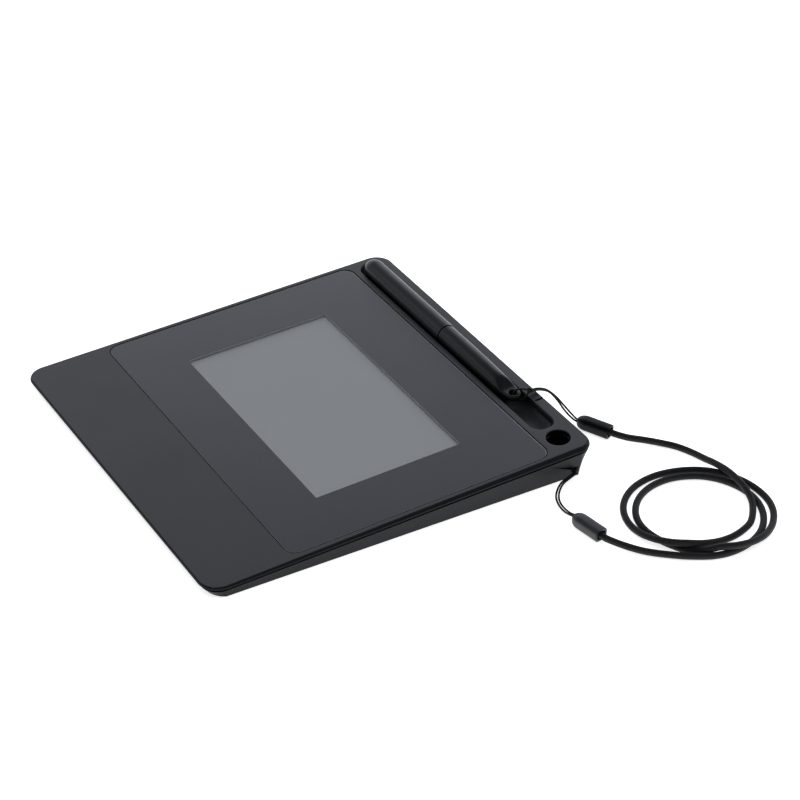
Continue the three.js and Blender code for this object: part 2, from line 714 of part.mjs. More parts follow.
// Bottom cover: a shell whose walls lean in and whose underside is level
function caseShell(offset, floorLift, above) {
  const lean = (point, height) => {
    const side = Math.abs(point.outX) * SIDE_DRAFT_SHARE;
    const end = Math.abs(point.outY) * (point.outY > 0 ? BACK_DRAFT_SHARE : FRONT_DRAFT_SHARE);
    return Math.min(side + end, Math.max(BACK_DRAFT_SHARE, FRONT_DRAFT_SHARE)) * height;
  };
  const lowAt = (point) => undersideAt(point.y) + floorLift;
  const heightAt = (point) => rimLevel - lowAt(point);
  const rounding = UNDERSIDE_ROUNDING;
  const rings = [
    ringOf(caseOutline, lowAt, (point) => offset + rounding + lean(point, heightAt(point))),
    ringOf(
      caseOutline, (point) => lowAt(point) + rounding,
      (point) => offset + lean(point, heightAt(point) - rounding),
    ),
    ringOf(caseOutline, rimLevel, offset),
  ];
  if (above > 0) rings.push(ringOf(caseOutline, rimLevel + above, offset));
  return loft(rings);
}

const footX = rightEdge - FOOT_SIDE_INSET;
const footY = backEdge - FOOT_END_INSET;
const footPlaces = [
  ['front_left', -footX, -footY],
  ['front_right', footX, -footY],
  ['back_left', -footX, footY],
  ['back_right', footX, footY],
];

function bottomCover() {
  const outside = caseShell(SEAM_STEP, 0, 0);
  const inside = caseShell(SEAM_STEP + CASE_WALL, CASE_FLOOR, OVERRUN);
  const screwPads = screwPlaces.map(([x, y]) => post(
    x, y, undersideAt(y) - OVERRUN, webTopAt(y), HOUSING_HEAD_RADIUS + SCREW_GAP + BOSS_WALL,
  ));
  const boardPosts = boardScrewPlaces.map(([x, y]) => post(
    x, y, undersideAt(y), mainBoardBottom - JOINT_GAP, BOARD_SCREW_SHANK_RADIUS + BOSS_WALL,
  ));
  const rib = (x) => block(
    x - CASE_FLOOR / 2, x + CASE_FLOOR / 2,
    displayY - DISPLAY_HEIGHT / 3, displayY + DISPLAY_HEIGHT / 3,
    undersideAt(displayY + DISPLAY_HEIGHT / 3), shieldBottom - JOINT_GAP,
  );
  const anchorBlock = post(
    anchorX, anchorY, undersideAt(CASE_DEPTH / 2),
    anchorZ + ANCHOR_SLOT_HEIGHT / 2 + ANCHOR_BLOCK,
    ANCHOR_POCKET_RADIUS + ANCHOR_BLOCK, ANCHOR_POCKET_RADIUS + ANCHOR_BLOCK, ROUND_SIDES,
  );
  const cupRoom = post(
    standX, troughY, cupBottom - JOINT_GAP, OVERRUN,
    STAND_BORE / 2 + STAND_WALL + SCREW_GAP, STAND_BORE / 2 + STAND_WALL + SCREW_GAP, ROUND_SIDES,
  );
  const inner = joined(
    ...screwPads, ...boardPosts, rib(-DISPLAY_WIDTH / 3), rib(DISPLAY_WIDTH / 3), anchorBlock,
  ).intersect(outside);
  const shell = cut(outside.subtract(inside).add(inner), cupRoom);

  const headHoles = screwPlaces.map(([x, y]) => post(
    x, y, undersideAt(y) - OVERRUN, headTopAt(y) + SCREW_GAP, HOUSING_HEAD_RADIUS + SCREW_GAP,
  ));
  const shankHoles = screwPlaces.map(([x, y]) => post(
    x, y, undersideAt(y) - OVERRUN, webTopAt(y) + OVERRUN, HOUSING_SHANK_RADIUS + SCREW_GAP,
  ));
  const pilotHoles = boardScrewPlaces.map(([x, y]) => post(
    x, y, mainBoardTop + SCREW_GAP + BOARD_SCREW_HEAD_HEIGHT - BOARD_SCREW_LENGTH - SCREW_GAP,
    mainBoardTop, BOARD_SCREW_SHANK_RADIUS + SCREW_GAP,
  ));
  const footHoles = footPlaces.map(([, x, y]) => inCase(post(
    x, y, 0, FOOT_HEIGHT + FOOT_RECESS, FOOT_RADIUS + SCREW_GAP, FOOT_RADIUS + SCREW_GAP,
    ROUND_SIDES,
  )));
  const usbWindow = block(
    USB_X - USB_WIDTH / 2 - USB_WINDOW_MARGIN, USB_X + USB_WIDTH / 2 + USB_WINDOW_MARGIN,
    usbBack - USB_LENGTH / 2, CASE_DEPTH / 2 + OVERRUN,
    usbTop - USB_HEIGHT - SCREW_GAP, usbTop + SCREW_GAP,
  );
  const anchorPocket = post(
    anchorX, anchorY, anchorZ - ANCHOR_SLOT_HEIGHT / 2, anchorZ + ANCHOR_SLOT_HEIGHT / 2,
    ANCHOR_POCKET_RADIUS, ANCHOR_POCKET_RADIUS, ROUND_SIDES,
  );
  const anchorMouth = block(
    anchorX, CASE_WIDTH / 2 + OVERRUN, anchorY - ANCHOR_POCKET_RADIUS,
    anchorY + ANCHOR_POCKET_RADIUS / 2,
    anchorZ - ANCHOR_SLOT_HEIGHT / 2, anchorZ + ANCHOR_SLOT_HEIGHT / 2,
  );
  const pinHole = post(
    anchorX, anchorY,
    anchorZ - ANCHOR_SLOT_HEIGHT / 2 - ANCHOR_PIN_SEAT - JOINT_GAP,
    anchorZ + ANCHOR_SLOT_HEIGHT / 2 + ANCHOR_PIN_SEAT + JOINT_GAP,
    ANCHOR_PIN_RADIUS + JOINT_GAP,
  );
  return cut(
    shell, ...headHoles, ...shankHoles, ...pilotHoles, ...footHoles, usbWindow,
    anchorPocket, anchorMouth, pinHole, crease(),
  );
}

// The crease in the right wall: nothing at its front end, and as deep as the tether slot's
// mouth at its back end
function crease() {
  const wallAt = (z) => CASE_WIDTH / 2 - SEAM_STEP - SIDE_DRAFT_SHARE * (rimLevel - z);
  const half = CREASE_HEIGHT / 2;
  const frontY = anchorY - CREASE_LENGTH;
  const frontZ = anchorZ + CREASE_RISE;
  const corners = [
    [wallAt(frontZ), frontY, frontZ],
    [wallAt(frontZ) + OVERRUN, frontY, frontZ],
    [wallAt(anchorZ) - CREASE_DEPTH, anchorY, anchorZ - half],
    [wallAt(anchorZ) - CREASE_DEPTH, anchorY, anchorZ + half],
    [wallAt(anchorZ) + OVERRUN, anchorY, anchorZ - half],
    [wallAt(anchorZ) + OVERRUN, anchorY, anchorZ + half],
  ];
  return toSolid(new ConvexGeometry(corners.map((corner) => new THREE.Vector3(...corner))));
}
addPiece('bottom_cover', bottomCover(), 'caseAbs');

addPiece(
  'tether_pin',
  post(
    anchorX, anchorY, anchorZ - ANCHOR_SLOT_HEIGHT / 2 - ANCHOR_PIN_SEAT,
    anchorZ + ANCHOR_SLOT_HEIGHT / 2 + ANCHOR_PIN_SEAT, ANCHOR_PIN_RADIUS,
  ),
  'steel',
);

// Feet, made level in the table's frame
for (const [place, x, y] of footPlaces) {
  addPiece(
    `foot_${place}`,
    post(x, y, 0, FOOT_HEIGHT + FOOT_RECESS - JOINT_GAP, FOOT_RADIUS, FOOT_RADIUS, ROUND_SIDES),
    'rubber',
    pad,
  );
}

// Pen
const penY = troughY;
const penZ = PEN_AXIS_HEIGHT;
const noseX = troughLeft + PEN_NOSE_GAP;
const seamX = noseX + PEN_FRONT_LENGTH;
const eyeletX = seamX + PEN_REAR_LENGTH;
const boreRadius = PEN_RADIUS - PEN_WALL;
const spigotRadius = boreRadius - JOINT_GAP;

function penFrontBarrel() {
  const profile = [[noseX, NIB_RADIUS + NIB_GUIDE_GAP], [noseX, PEN_NOSE_FLAT]];
  const steps = SMALL_SIDES / 2;
  for (let step = 1; step <= steps; step++) {
    const angle = step / steps * Math.PI / 2;
    profile.push([
      noseX + PEN_NOSE_LENGTH * (1 - Math.cos(angle)),
      PEN_NOSE_FLAT + (PEN_RADIUS - PEN_NOSE_FLAT) * Math.sin(angle),
    ]);
  }
  profile.push([seamX, PEN_RADIUS]);
  profile.push([seamX, boreRadius]);
  profile.push([noseX + PEN_NOSE_LENGTH, boreRadius]);
  profile.push([noseX + PEN_NOSE_LENGTH / 2, NIB_RADIUS + NIB_GUIDE_GAP]);
  profile.push([noseX, NIB_RADIUS + NIB_GUIDE_GAP]);
  return turned(profile, penY, penZ);
}
addPiece('pen_front_barrel', penFrontBarrel(), 'penAbs');

const rearStart = seamX + JOINT_GAP;
const rearEnd = eyeletX + PEN_EYELET_RADIUS;
const rearRadius = PEN_RADIUS - PEN_STEP;
const penBoardHalf = PEN_BOARD_WIDTH / 2;

function penRearBarrel() {
  const length = rearEnd - rearStart;
  const taperShares = [[0, 0], [0.3, 0.02], [0.55, 0.15], [0.75, 0.45], [0.9, 0.85]];
  const profile = [[seamX - PEN_SPIGOT_LENGTH, 0]];
  profile.push([seamX - PEN_SPIGOT_LENGTH, spigotRadius]);
  profile.push([rearStart, spigotRadius]);
  for (const [alongShare, taperShare] of taperShares) {
    profile.push([rearStart + length * alongShare, rearRadius - PEN_REAR_TAPER * taperShare]);
  }
  const tailStart = rearEnd - PEN_EYELET_RADIUS;
  const tailRadius = PEN_EYELET_RADIUS;
  const steps = SMALL_SIDES / 2;
  for (let step = 1; step <= steps; step++) {
    const angle = step / steps * Math.PI / 2;
    const radius = step === steps ? 0 : tailRadius * Math.cos(angle);
    profile.push([tailStart + tailRadius * Math.sin(angle), radius]);
  }
  const barrel = turned(profile, penY, penZ);

  // The tail is flattened above and below, with a ramp down to the flat on top
  const scoop = (way) => {
    const flat = PEN_EYELET_HALF_THICKNESS;
    const flatStart = eyeletX - PEN_EYELET_RADIUS;
    const side = new THREE.Shape();
    side.moveTo(flatStart - PEN_SCOOP_LENGTH, way * PEN_RADIUS);
    side.lineTo(flatStart, way * flat);
    side.lineTo(rearEnd + OVERRUN, way * flat);
    side.lineTo(rearEnd + OVERRUN, way * 2 * PEN_RADIUS);
    side.lineTo(flatStart - PEN_SCOOP_LENGTH, way * 2 * PEN_RADIUS);
    side.closePath();
    const geometry = new THREE.ExtrudeGeometry(side, { depth: 4 * PEN_RADIUS, bevelEnabled: false });
    geometry.rotateX(Math.PI / 2);
    geometry.translate(0, penY + 2 * PEN_RADIUS, penZ);
    return toSolid(geometry);
  };
  const hole = post(
    eyeletX, penY, penZ - PEN_RADIUS, penZ + PEN_RADIUS, PEN_EYELET_HOLE, PEN_EYELET_HOLE,
  );
  const boardSlot = block(
    seamX - PEN_SPIGOT_LENGTH - OVERRUN,
    seamX + PEN_BOARD_LENGTH / 2 + JOINT_GAP,
    penY - penBoardHalf - JOINT_GAP, penY + penBoardHalf + JOINT_GAP,
    penZ - BOARD_THICKNESS, penZ + BOARD_THICKNESS,
  );
  return cut(barrel, scoop(1), scoop(-1), hole, boardSlot);
}
addPiece('pen_rear_barrel', penRearBarrel(), 'penAbs');

// Inside the pen: nib, coil, pressure pad and cell, circuit board, nose to tail
const nibTip = noseX - NIB_REACH;
const nibEnd = nibTip + NIB_LENGTH;
function penNib() {
  const profile = [[nibTip, 0]];
  const steps = SMALL_SIDES / 4;
  for (let step = 1; step <= steps; step++) {
    const angle = step / steps * Math.PI / 2;
    profile.push([nibTip + NIB_RADIUS * (1 - Math.cos(angle)), NIB_RADIUS * Math.sin(angle)]);
  }
  profile.push([nibEnd, NIB_RADIUS], [nibEnd, 0]);
  return turned(profile, penY, penZ, SMALL_SIDES);
}
addPiece('pen_nib', penNib(), 'nibPlastic');

const coilStart = noseX + 2 * PEN_NOSE_LENGTH;
function penCoil() {
  const bore = NIB_RADIUS + NIB_GUIDE_GAP;
  const flange = (boreRadius + WINDING_RADIUS) / 2;
  const end = coilStart + WINDING_LENGTH;
  return turned([
    [coilStart, bore], [coilStart, flange], [coilStart + PEN_WALL, flange],
    [coilStart + PEN_WALL, WINDING_RADIUS], [end, WINDING_RADIUS], [end, FERRITE_RADIUS],
    [end + PEN_WALL, FERRITE_RADIUS], [end + PEN_WALL, bore], [coilStart, bore],
  ], penY, penZ, SMALL_SIDES);
}
addPiece('pen_coil', penCoil(), 'ferrite');

const pressurePadStart = nibEnd + NIB_TRAVEL + JOINT_GAP;
const pressureCellStart = pressurePadStart + PRESSURE_PAD_LENGTH + JOINT_GAP;
const rod = (start, length, radius) => turned(
  [[start, 0], [start, radius], [start + length, radius], [start + length, 0]],
  penY, penZ, SMALL_SIDES,
);
addPiece('pressure_pad', rod(pressurePadStart, PRESSURE_PAD_LENGTH, FERRITE_RADIUS), 'rubber');
addPiece('pressure_cell', rod(pressureCellStart, PRESSURE_CELL_LENGTH, PRESSURE_CELL_RADIUS), 'steel');
const penBoardStart = pressureCellStart + PRESSURE_CELL_LENGTH + JOINT_GAP;
addPiece(
  'pen_board',
  block(
    penBoardStart, seamX + PEN_BOARD_LENGTH / 2, penY - penBoardHalf, penY + penBoardHalf,
    penZ - BOARD_THICKNESS / 2, penZ + BOARD_THICKNESS / 2,
  ),
  'circuit',
);

// Tether. Its route points are chosen by hand and lie in the table's frame,
// but for those near the pen's eyelet, which are written in the case's frame.
const cordEndHeight = CORD_END_LIFT + CORD_END_HEIGHT / 2;
const onTable = (list) => list.map(([x, y, z]) => new THREE.Vector3(x, y, z));
const onCase = (list) => onTable(list).map((point) => point.applyMatrix4(tilted.matrixWorld));

// A crimped end: a tapered tip where the thin loop leaves, a flat face where the cord does
function cordEnd(tip, face) {
  const length = tip.distanceTo(face);
  const tipShares = [[0, 0.3], [0.02, 0.5], [0.06, 0.7], [0.13, 0.87], [0.25, 1], [0.96, 1], [1, 0.9]];
  const points = tipShares.map(([along, wide]) => new THREE.Vector2(
    CORD_END_WIDTH / 2 * wide, length * along,
  ));
  points.unshift(new THREE.Vector2(0, 0));
  points.push(new THREE.Vector2(0, length));
  const geometry = new THREE.LatheGeometry(points, SMALL_SIDES);
  geometry.rotateZ(-Math.PI / 2);
  geometry.scale(1, 1, CORD_END_HEIGHT / CORD_END_WIDTH);
  geometry.rotateZ(Math.atan2(face.y - tip.y, face.x - tip.x));
  geometry.translate(tip.x, tip.y, tip.z);
  return toSolid(geometry);
}

function pointBeyond(tip, face, distance) {
  const way = face.clone().sub(tip).normalize();
  return face.clone().addScaledVector(way, distance);
}

// Each end is set by where its tip lies and which way it points
function endPlace(x, y, degrees) {
  const angle = THREE.MathUtils.degToRad(degrees);
  const tip = new THREE.Vector3(x, y, cordEndHeight);
  const way = new THREE.Vector3(Math.cos(angle), Math.sin(angle), 0);
  return { tip, face: tip.clone().addScaledVector(way, CORD_END_LENGTH) };
}
const penEnd = endPlace(51.8, 97.9, 27);
const baseEnd = endPlace(105, 59.9, 10);

// The coil's centreline, clockwise from its end near the pen, about every 7 mm. It was
// measured in the photograph: a little over two turns, with three long low humps, where
// one turn lies on another.
const coilRoute = onTable([
  [138.6, 119.8, 1.5], [141.6, 114.0, 1.5], [143.2, 107.5, 1.5], [143.5, 100.8, 1.9],
  [143.0, 94.2, 3.0], [141.3, 87.9, 4.2], [137.6, 82.5, 4.1], [132.2, 79.0, 3.2],
  [126.0, 77.2, 2.1], [119.5, 77.0, 1.5], [113.2, 78.4, 1.5], [107.5, 81.6, 1.5],
  [102.9, 86.2, 1.5], [99.5, 91.8, 1.5], [97.5, 98.1, 1.5], [96.9, 104.6, 1.5],
  [97.7, 111.2, 1.5], [99.7, 117.5, 1.5], [102.9, 123.2, 1.5], [107.4, 128.0, 1.5],
  [112.9, 131.6, 1.5], [119.1, 133.8, 1.5], [125.6, 134.5, 1.5], [132.0, 133.7, 1.5],
  [138.0, 131.1, 1.5], [143.1, 127.0, 1.5], [147.2, 121.9, 2.1], [150.3, 116.2, 3.1],
  [151.8, 109.8, 3.9], [151.3, 103.3, 4.3], [148.6, 97.1, 3.9], [145.4, 91.6, 2.2],
  [141.1, 86.7, 1.4], [135.5, 83.1, 1.5], [129.3, 80.9, 1.5], [122.8, 80.3, 1.5],
  [116.5, 81.7, 1.5], [110.9, 85.0, 1.5], [106.3, 89.7, 1.5], [103.1, 95.4, 1.5],
  [101.4, 101.8, 1.5], [101.3, 108.3, 1.5], [102.9, 114.7, 1.5], [106.0, 120.5, 1.5],
  [110.6, 125.1, 1.5], [116.3, 128.3, 1.5], [122.7, 129.9, 1.5], [129.4, 129.7, 1.5],
  [135.6, 127.6, 1.5], [141.1, 123.9, 1.5], [145.6, 119.0, 1.5], [148.7, 113.1, 1.5],
  [150.4, 106.7, 1.5], [150.7, 100.1, 1.5], [149.3, 93.5, 1.5], [146.3, 87.4, 1.5],
  [142.6, 81.7, 1.5],
]);
const coilCurve = new THREE.CatmullRomCurve3(coilRoute, false, 'centripetal');
const COIL_TURNS = 2.3;
const coilSteps = Math.round(COIL_TURNS * COIL_STEPS_A_TURN);
const coilPath = coilCurve.getSpacedPoints(coilSteps);
const coilLast = coilPath.length - 1;

function leastCoilGap() {
  let least = Infinity;
  for (let i = 0; i < coilPath.length; i++) {
    for (let j = i + COIL_STEPS_A_TURN / 2; j < coilPath.length; j++) {
      least = Math.min(least, coilPath[i].distanceTo(coilPath[j]));
    }
  }
  return least - 2 * CORD_RADIUS;
}
console.log(`least gap of the coil to itself: ${leastCoilGap().toFixed(2)} mm`);

const penSideRoute = onTable([
  [71.5, 109.2, 2.6], [75.5, 114.5, 2.1], [79.8, 119.6, 1.6], [84.8, 123.8, 1.5],
  [90.7, 126.7, 1.5], [97.1, 128.1, 2.1], [103.6, 128.6, 3.5], [110.4, 128.9, 4.5],
  [117.3, 128.9, 4.5], [124.0, 128.3, 3.9], [130.2, 126.6, 2.6],
]);
const baseSideRoute = onTable([
  [133.8, 71.2, 1.8],
]);
const penSidePath = [
  pointBeyond(penEnd.tip, penEnd.face, CORD_GAP),
  pointBeyond(penEnd.tip, penEnd.face, CORD_GAP + 2 * CORD_RADIUS),
  ...penSideRoute,
  pointBeyond(coilPath[1], coilPath[0], CORD_GAP + 2 * CORD_RADIUS),
  pointBeyond(coilPath[1], coilPath[0], CORD_GAP),
];
const baseSidePath = [
  pointBeyond(coilPath[coilLast - 1], coilPath[coilLast], CORD_GAP),
  ...baseSideRoute,
  pointBeyond(baseEnd.tip, baseEnd.face, CORD_GAP + 2 * CORD_RADIUS),
  pointBeyond(baseEnd.tip, baseEnd.face, CORD_GAP),
];
const PEN_SIDE_STEPS = 20;
const BASE_SIDE_STEPS = 5;
addPiece('tether_cord_pen_side', tube(penSidePath, CORD_RADIUS, CORD_SIDES, PEN_SIDE_STEPS), 'cord', pad);
addPiece('tether_coil', tube(coilPath, CORD_RADIUS, COIL_SIDES, coilSteps), 'cord', pad);
addPiece('tether_cord_base_side', tube(baseSidePath, CORD_RADIUS, CORD_SIDES, BASE_SIDE_STEPS), 'cord', pad);
addPiece('pen_cord_end', cordEnd(penEnd.tip, penEnd.face), 'penAbs', pad);
addPiece('base_cord_end', cordEnd(baseEnd.tip, baseEnd.face), 'penAbs', pad);

// A thin loop of cord with a knot on it
function knottedLoop(points, steps, knot) {
  const ball = new THREE.SphereGeometry(KNOT_RADIUS, SMALL_SIDES / 2, SMALL_SIDES / 2);
  ball.translate(knot.x, knot.y, knot.z);
  return tube(points, LOOP_RADIUS, CORD_SIDES, steps).add(toSolid(ball));
}

// The pen's loop: out of the cord end, over the back rim, down through the eyelet, up beside
// its tail and back over the rim
const penLoopPath = [
  new THREE.Vector3(51.4, 98.2, cordEndHeight),
  ...onTable([[48.7, 96.9, 4.6], [45.5, 95.3, 7.2], [42.5, 92.9, 10.7], [40.2, 89.6, 13.6]]),
  ...onCase([
    [39.9, 85.6, 0.85], [39.9, 83.0, 1.3], [39.9, 80.8, 2.1], [39.7, 78.6, 2.9],
    [39.5, 76.4, 3.0], [39.4, 75.3, 1.6], [39.4, 75.2, -0.6], [39.9, 76.2, -1.9],
    [41.0, 77.6, -1.6], [41.8, 78.8, 0.0], [41.6, 80.4, 1.6], [41.1, 82.6, 1.5], [41.2, 85.8, 0.85],
  ]),
  ...onTable([[41.8, 90.0, 13.2], [44.4, 92.5, 10.1], [47.1, 94.2, 6.6], [49.7, 95.7, 4.2]]),
  new THREE.Vector3(51.9, 97.0, cordEndHeight),
];
const LOOP_STEPS = 56;
const [penKnot] = onCase([[40.6, 81.6, 1.8]]);
addPiece('pen_loop', knottedLoop(penLoopPath, LOOP_STEPS, penKnot), 'cord', pad);

// The base loop: out of the other cord end, along the table, into the slot and round the pin
const PIN_TURN_RADIUS = ANCHOR_PIN_RADIUS + LOOP_RADIUS + CORD_GAP;
const PIN_TURN_STEPS = 6;
const pinTurn = [];
for (let step = 0; step <= PIN_TURN_STEPS; step++) {
  const angle = -(0.4 + 1.2 * step / PIN_TURN_STEPS) * Math.PI;
  pinTurn.push([
    anchorX + PIN_TURN_RADIUS * Math.cos(angle), anchorY + PIN_TURN_RADIUS * Math.sin(angle), anchorZ,
  ]);
}
const baseLoopPath = [
  new THREE.Vector3(104.7, 59.7, cordEndHeight),
  ...onTable([
    [100.8, 59.7, 1.7], [96.8, 60.1, 1.0], [92.4, 60.9, 0.8],
    [88.5, 62.5, 0.9], [85.4, 65.3, 1.3], [84.2, 68.0, 3.0],
  ]),
  ...onCase([[82.6, 76.2, -8.4], [80.9, 76.9, anchorZ], ...pinTurn, [80.9, 78.3, anchorZ], [83, 77.0, -8.7]]),
  ...onTable([
    [85.3, 68.4, 3.0], [86.5, 66.3, 1.3], [89.4, 64.0, 0.9],
    [92.9, 62.2, 0.8], [97.0, 61.3, 1.0], [100.9, 60.9, 1.7],
  ]),
  new THREE.Vector3(104.7, 60.9, cordEndHeight),
];
const BASE_LOOP_STEPS = 56;
const [baseKnot] = onCase([[82.9, 76.4, -8.6]]);
addPiece('base_loop', knottedLoop(baseLoopPath, BASE_LOOP_STEPS, baseKnot), 'cord', pad);

export default pad;
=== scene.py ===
# Signature pad with a tethered pen, dressed over its CAD frame.
# The pieces are drawn in millimetres of the case's own tilted frame (or of the table's)
# and placed in metres: +X to the user's right, +Y to the back, +Z up, table at z = 0.
import bpy
import bmesh
import math
from mathutils import Matrix, Vector
from mathutils.geometry import delaunay_2d_cdt


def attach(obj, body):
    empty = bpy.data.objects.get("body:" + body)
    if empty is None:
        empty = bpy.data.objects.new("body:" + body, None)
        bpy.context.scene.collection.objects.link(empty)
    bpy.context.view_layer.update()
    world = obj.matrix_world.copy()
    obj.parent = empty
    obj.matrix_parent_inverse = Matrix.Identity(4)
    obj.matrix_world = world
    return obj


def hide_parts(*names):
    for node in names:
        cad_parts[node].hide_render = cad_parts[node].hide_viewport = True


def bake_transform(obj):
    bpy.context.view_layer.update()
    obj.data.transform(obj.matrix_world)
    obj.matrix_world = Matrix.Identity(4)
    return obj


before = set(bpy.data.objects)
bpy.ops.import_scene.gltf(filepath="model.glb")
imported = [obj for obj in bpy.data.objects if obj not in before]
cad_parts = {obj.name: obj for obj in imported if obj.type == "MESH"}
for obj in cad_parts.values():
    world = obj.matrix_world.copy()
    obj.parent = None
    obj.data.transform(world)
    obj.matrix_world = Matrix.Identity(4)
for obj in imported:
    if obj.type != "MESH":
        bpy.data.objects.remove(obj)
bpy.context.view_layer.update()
scene = bpy.context.scene
scene.view_settings.view_transform = "Standard"
scene.view_settings.look = "None"

# Camera first: the photograph's angle, solved from the display's four corners
cameraLook = {
    "place": (0.70033, -0.39359, 0.55967),
    "right": (0.5129, 0.8579, 0.0309),
    "up": (-0.4954, 0.2665, 0.8268),
    "lens": 109.134,
}
cameraData = bpy.data.cameras.new("productCamera")
cameraData.sensor_width = 36
cameraData.lens = cameraLook["lens"]
cameraData.clip_end = 20
camera = bpy.data.objects.new("productCamera", cameraData)
cameraRight = Vector(cameraLook["right"]).normalized()
cameraBack = cameraRight.cross(Vector(cameraLook["up"])).normalized()
cameraUp = cameraBack.cross(cameraRight)
cameraAxes = Matrix((cameraRight, cameraUp, cameraBack)).transposed().to_4x4()
camera.matrix_world = Matrix.Translation(cameraLook["place"]) @ cameraAxes
scene.collection.objects.link(camera)
scene.camera = camera
print("camera set")

# The case's sizes that several pieces share, in millimetres
case = {
    "width": 165, "depth": 170, "corner": (8.3, 6.4, 7.5, 7.5), "tubCorner": (7.2, 6.4, 7.5, 7.5),
    "backReach": 0.2, "frontReach": 0.5, "tilt": 3.2,
    "thickness": 9.79,       # under the middle of the display
    "lip": 1.5, "lipFront": 1.15, "edgeDrop": 1.1, "fall": 0.8, "fallBackRight": 2.2, "fallBack": 0.5,
    "seamGap": 0.9, "seamGapFront": 0.7, "seamStep": 0.18, "wall": 1.6, "floor": 1.2,
    "sideDraft": 0.17, "backDraft": 0.48, "frontDraft": 0.75,
    "glass": (159, 116, 5), "glassX": -0.5, "glassY": 8.6, "glassGap": 0.38, "glassRise": 0.05,
    "glassThick": 0.8, "display": (108, 64.8), "displayY": 7.85,
    "troughY": 75, "trough": (-78.7, 63.7), "standX": 71, "footHeight": 0.3,
}
tilt = math.radians(case["tilt"])
fall = math.tan(tilt)
middleDepth = case["thickness"] - fall * case["displayY"]
caseLift = (middleDepth + case["footHeight"] / math.cos(tilt)) * math.cos(tilt)
caseShift = -(case["lip"] + case["fall"]) * math.sin(tilt) / 2
caseToTable = Matrix.Translation((0, caseShift, caseLift)) @ Matrix.Rotation(tilt, 4, "X")
tableToCase = caseToTable.inverted()
metresToCase = tableToCase @ Matrix.Scale(1000, 4)
tablePlace = Matrix.Identity(4)


def undersideAt(y):
    return -(middleDepth + fall * y)


def onTable(points):
    return [Vector(p) * 0.001 for p in points]


def onCase(points):
    return [(caseToTable @ Vector(p)) * 0.001 for p in points]


# Materials
def linear(hexColour):
    parts = [int(hexColour[i:i + 2], 16) / 255 for i in (1, 3, 5)]
    return [c / 12.92 if c <= 0.04045 else ((c + 0.055) / 1.055) ** 2.4 for c in parts] + [1]


def addNode(material, kind, settings=None, inputs=None):
    # a node with its settings; an input that is given another node's socket is linked to it
    node = material.node_tree.nodes.new(kind)
    for key, value in (settings or {}).items():
        setattr(node, key, value)
    for key, value in (inputs or {}).items():
        socket = node.inputs[key]
        if isinstance(value, bpy.types.NodeSocket):
            material.node_tree.links.new(value, socket)
        else:
            socket.default_value = value
    return node


def startMaterial(name, surface):
    # surface: the Principled shader's own values
    material = bpy.data.materials.new(name)
    material.use_nodes = True
    material.node_tree.nodes.clear()
    shader = addNode(material, "ShaderNodeBsdfPrincipled", None, surface)
    addNode(material, "ShaderNodeOutputMaterial", None, {"Surface": shader.outputs[0]})
    place = addNode(material, "ShaderNodeTexCoord")
    return material, shader, place.outputs["Object"]


def link(material, output, socket):
    material.node_tree.links.new(output, socket)


def blotch(material, place, size, low, high, detail=2.0):
    # a value that drifts between low and high over blotches of that size in millimetres
    noise = addNode(material, "ShaderNodeTexNoise", None,
                    {"Vector": place, "Scale": 1000 / size, "Detail": detail})
    spread = addNode(material, "ShaderNodeMapRange", None, {
        "Value": noise.outputs["Fac"], "From Min": 0.3, "From Max": 0.7,
        "To Min": low, "To Max": high})
    return spread.outputs["Result"]


def tinted(material, factor, dark, light):
    ramp = addNode(material, "ShaderNodeMix", {"data_type": "RGBA"}, {
        "Factor": factor, "A": linear(dark), "B": linear(light)})
    return ramp.outputs["Result"]


def bumped(material, shader, height, distance, strength):
    bump = addNode(material, "ShaderNodeBump", None, {
        "Height": height, "Distance": distance * 0.001, "Strength": strength})
    link(material, bump.outputs[0], shader.inputs["Normal"])


def surface(name, values, tint=None, rough=None, grain=None, stretch=None):
    # values: the shader's own; tint: blotch size, dark, light; rough: blotch size, low, high;
    # grain: size, depth, strength, detail; stretch: how the tint's blotches are drawn out.
    # Sizes and depths are in millimetres.
    m, shader, place = startMaterial(name, values)
    drawn = place
    if stretch:
        drawn = addNode(m, "ShaderNodeMapping", None, {"Vector": place, "Scale": stretch}).outputs[0]
    if tint:
        size, dark, light, *detail = tint
        shade = tinted(m, blotch(m, drawn, size, 0, 1, *detail), dark, light)
        link(m, shade, shader.inputs["Base Color"])
    if rough:
        # the lines drawn in a metal vary its roughness too
        where = drawn if "Metallic" in values else place
        link(m, blotch(m, where, *rough), shader.inputs["Roughness"])
    if grain:
        size, depth, strength, detail = grain
        noise = addNode(m, "ShaderNodeTexNoise", None, {
            "Vector": place, "Scale": 1000 / size, "Detail": detail})
        bumped(m, shader, noise.outputs["Fac"], depth, strength)
    return m


def mouldedAbs(name, dark, light, shine):
    # ABS moulded in a spark-eroded tool: charcoal, matte, with a fine dry grain
    return surface(name, {"IOR": 1.5, "Specular IOR Level": shine}, (1.2, dark, light),
                   (35, 0.4, 0.46), (0.7, 0.01, 0.3, 2))


def sleepingPanel():
    # a switched-off liquid crystal panel: flat mid grey with the faintest pixel rows
    m, shader, place = startMaterial("liquidCrystalOff", {"IOR": 1.5, "Roughness": 0.4})
    rows = addNode(m, "ShaderNodeTexWave", {"wave_type": "BANDS", "bands_direction": "X"},
                   {"Vector": place, "Scale": 1000 / 6 / 0.9, "Distortion": 0})
    link(m, tinted(m, rows.outputs["Fac"], "#bcc0c3", "#c0c4c7"), shader.inputs["Base Color"])
    return m


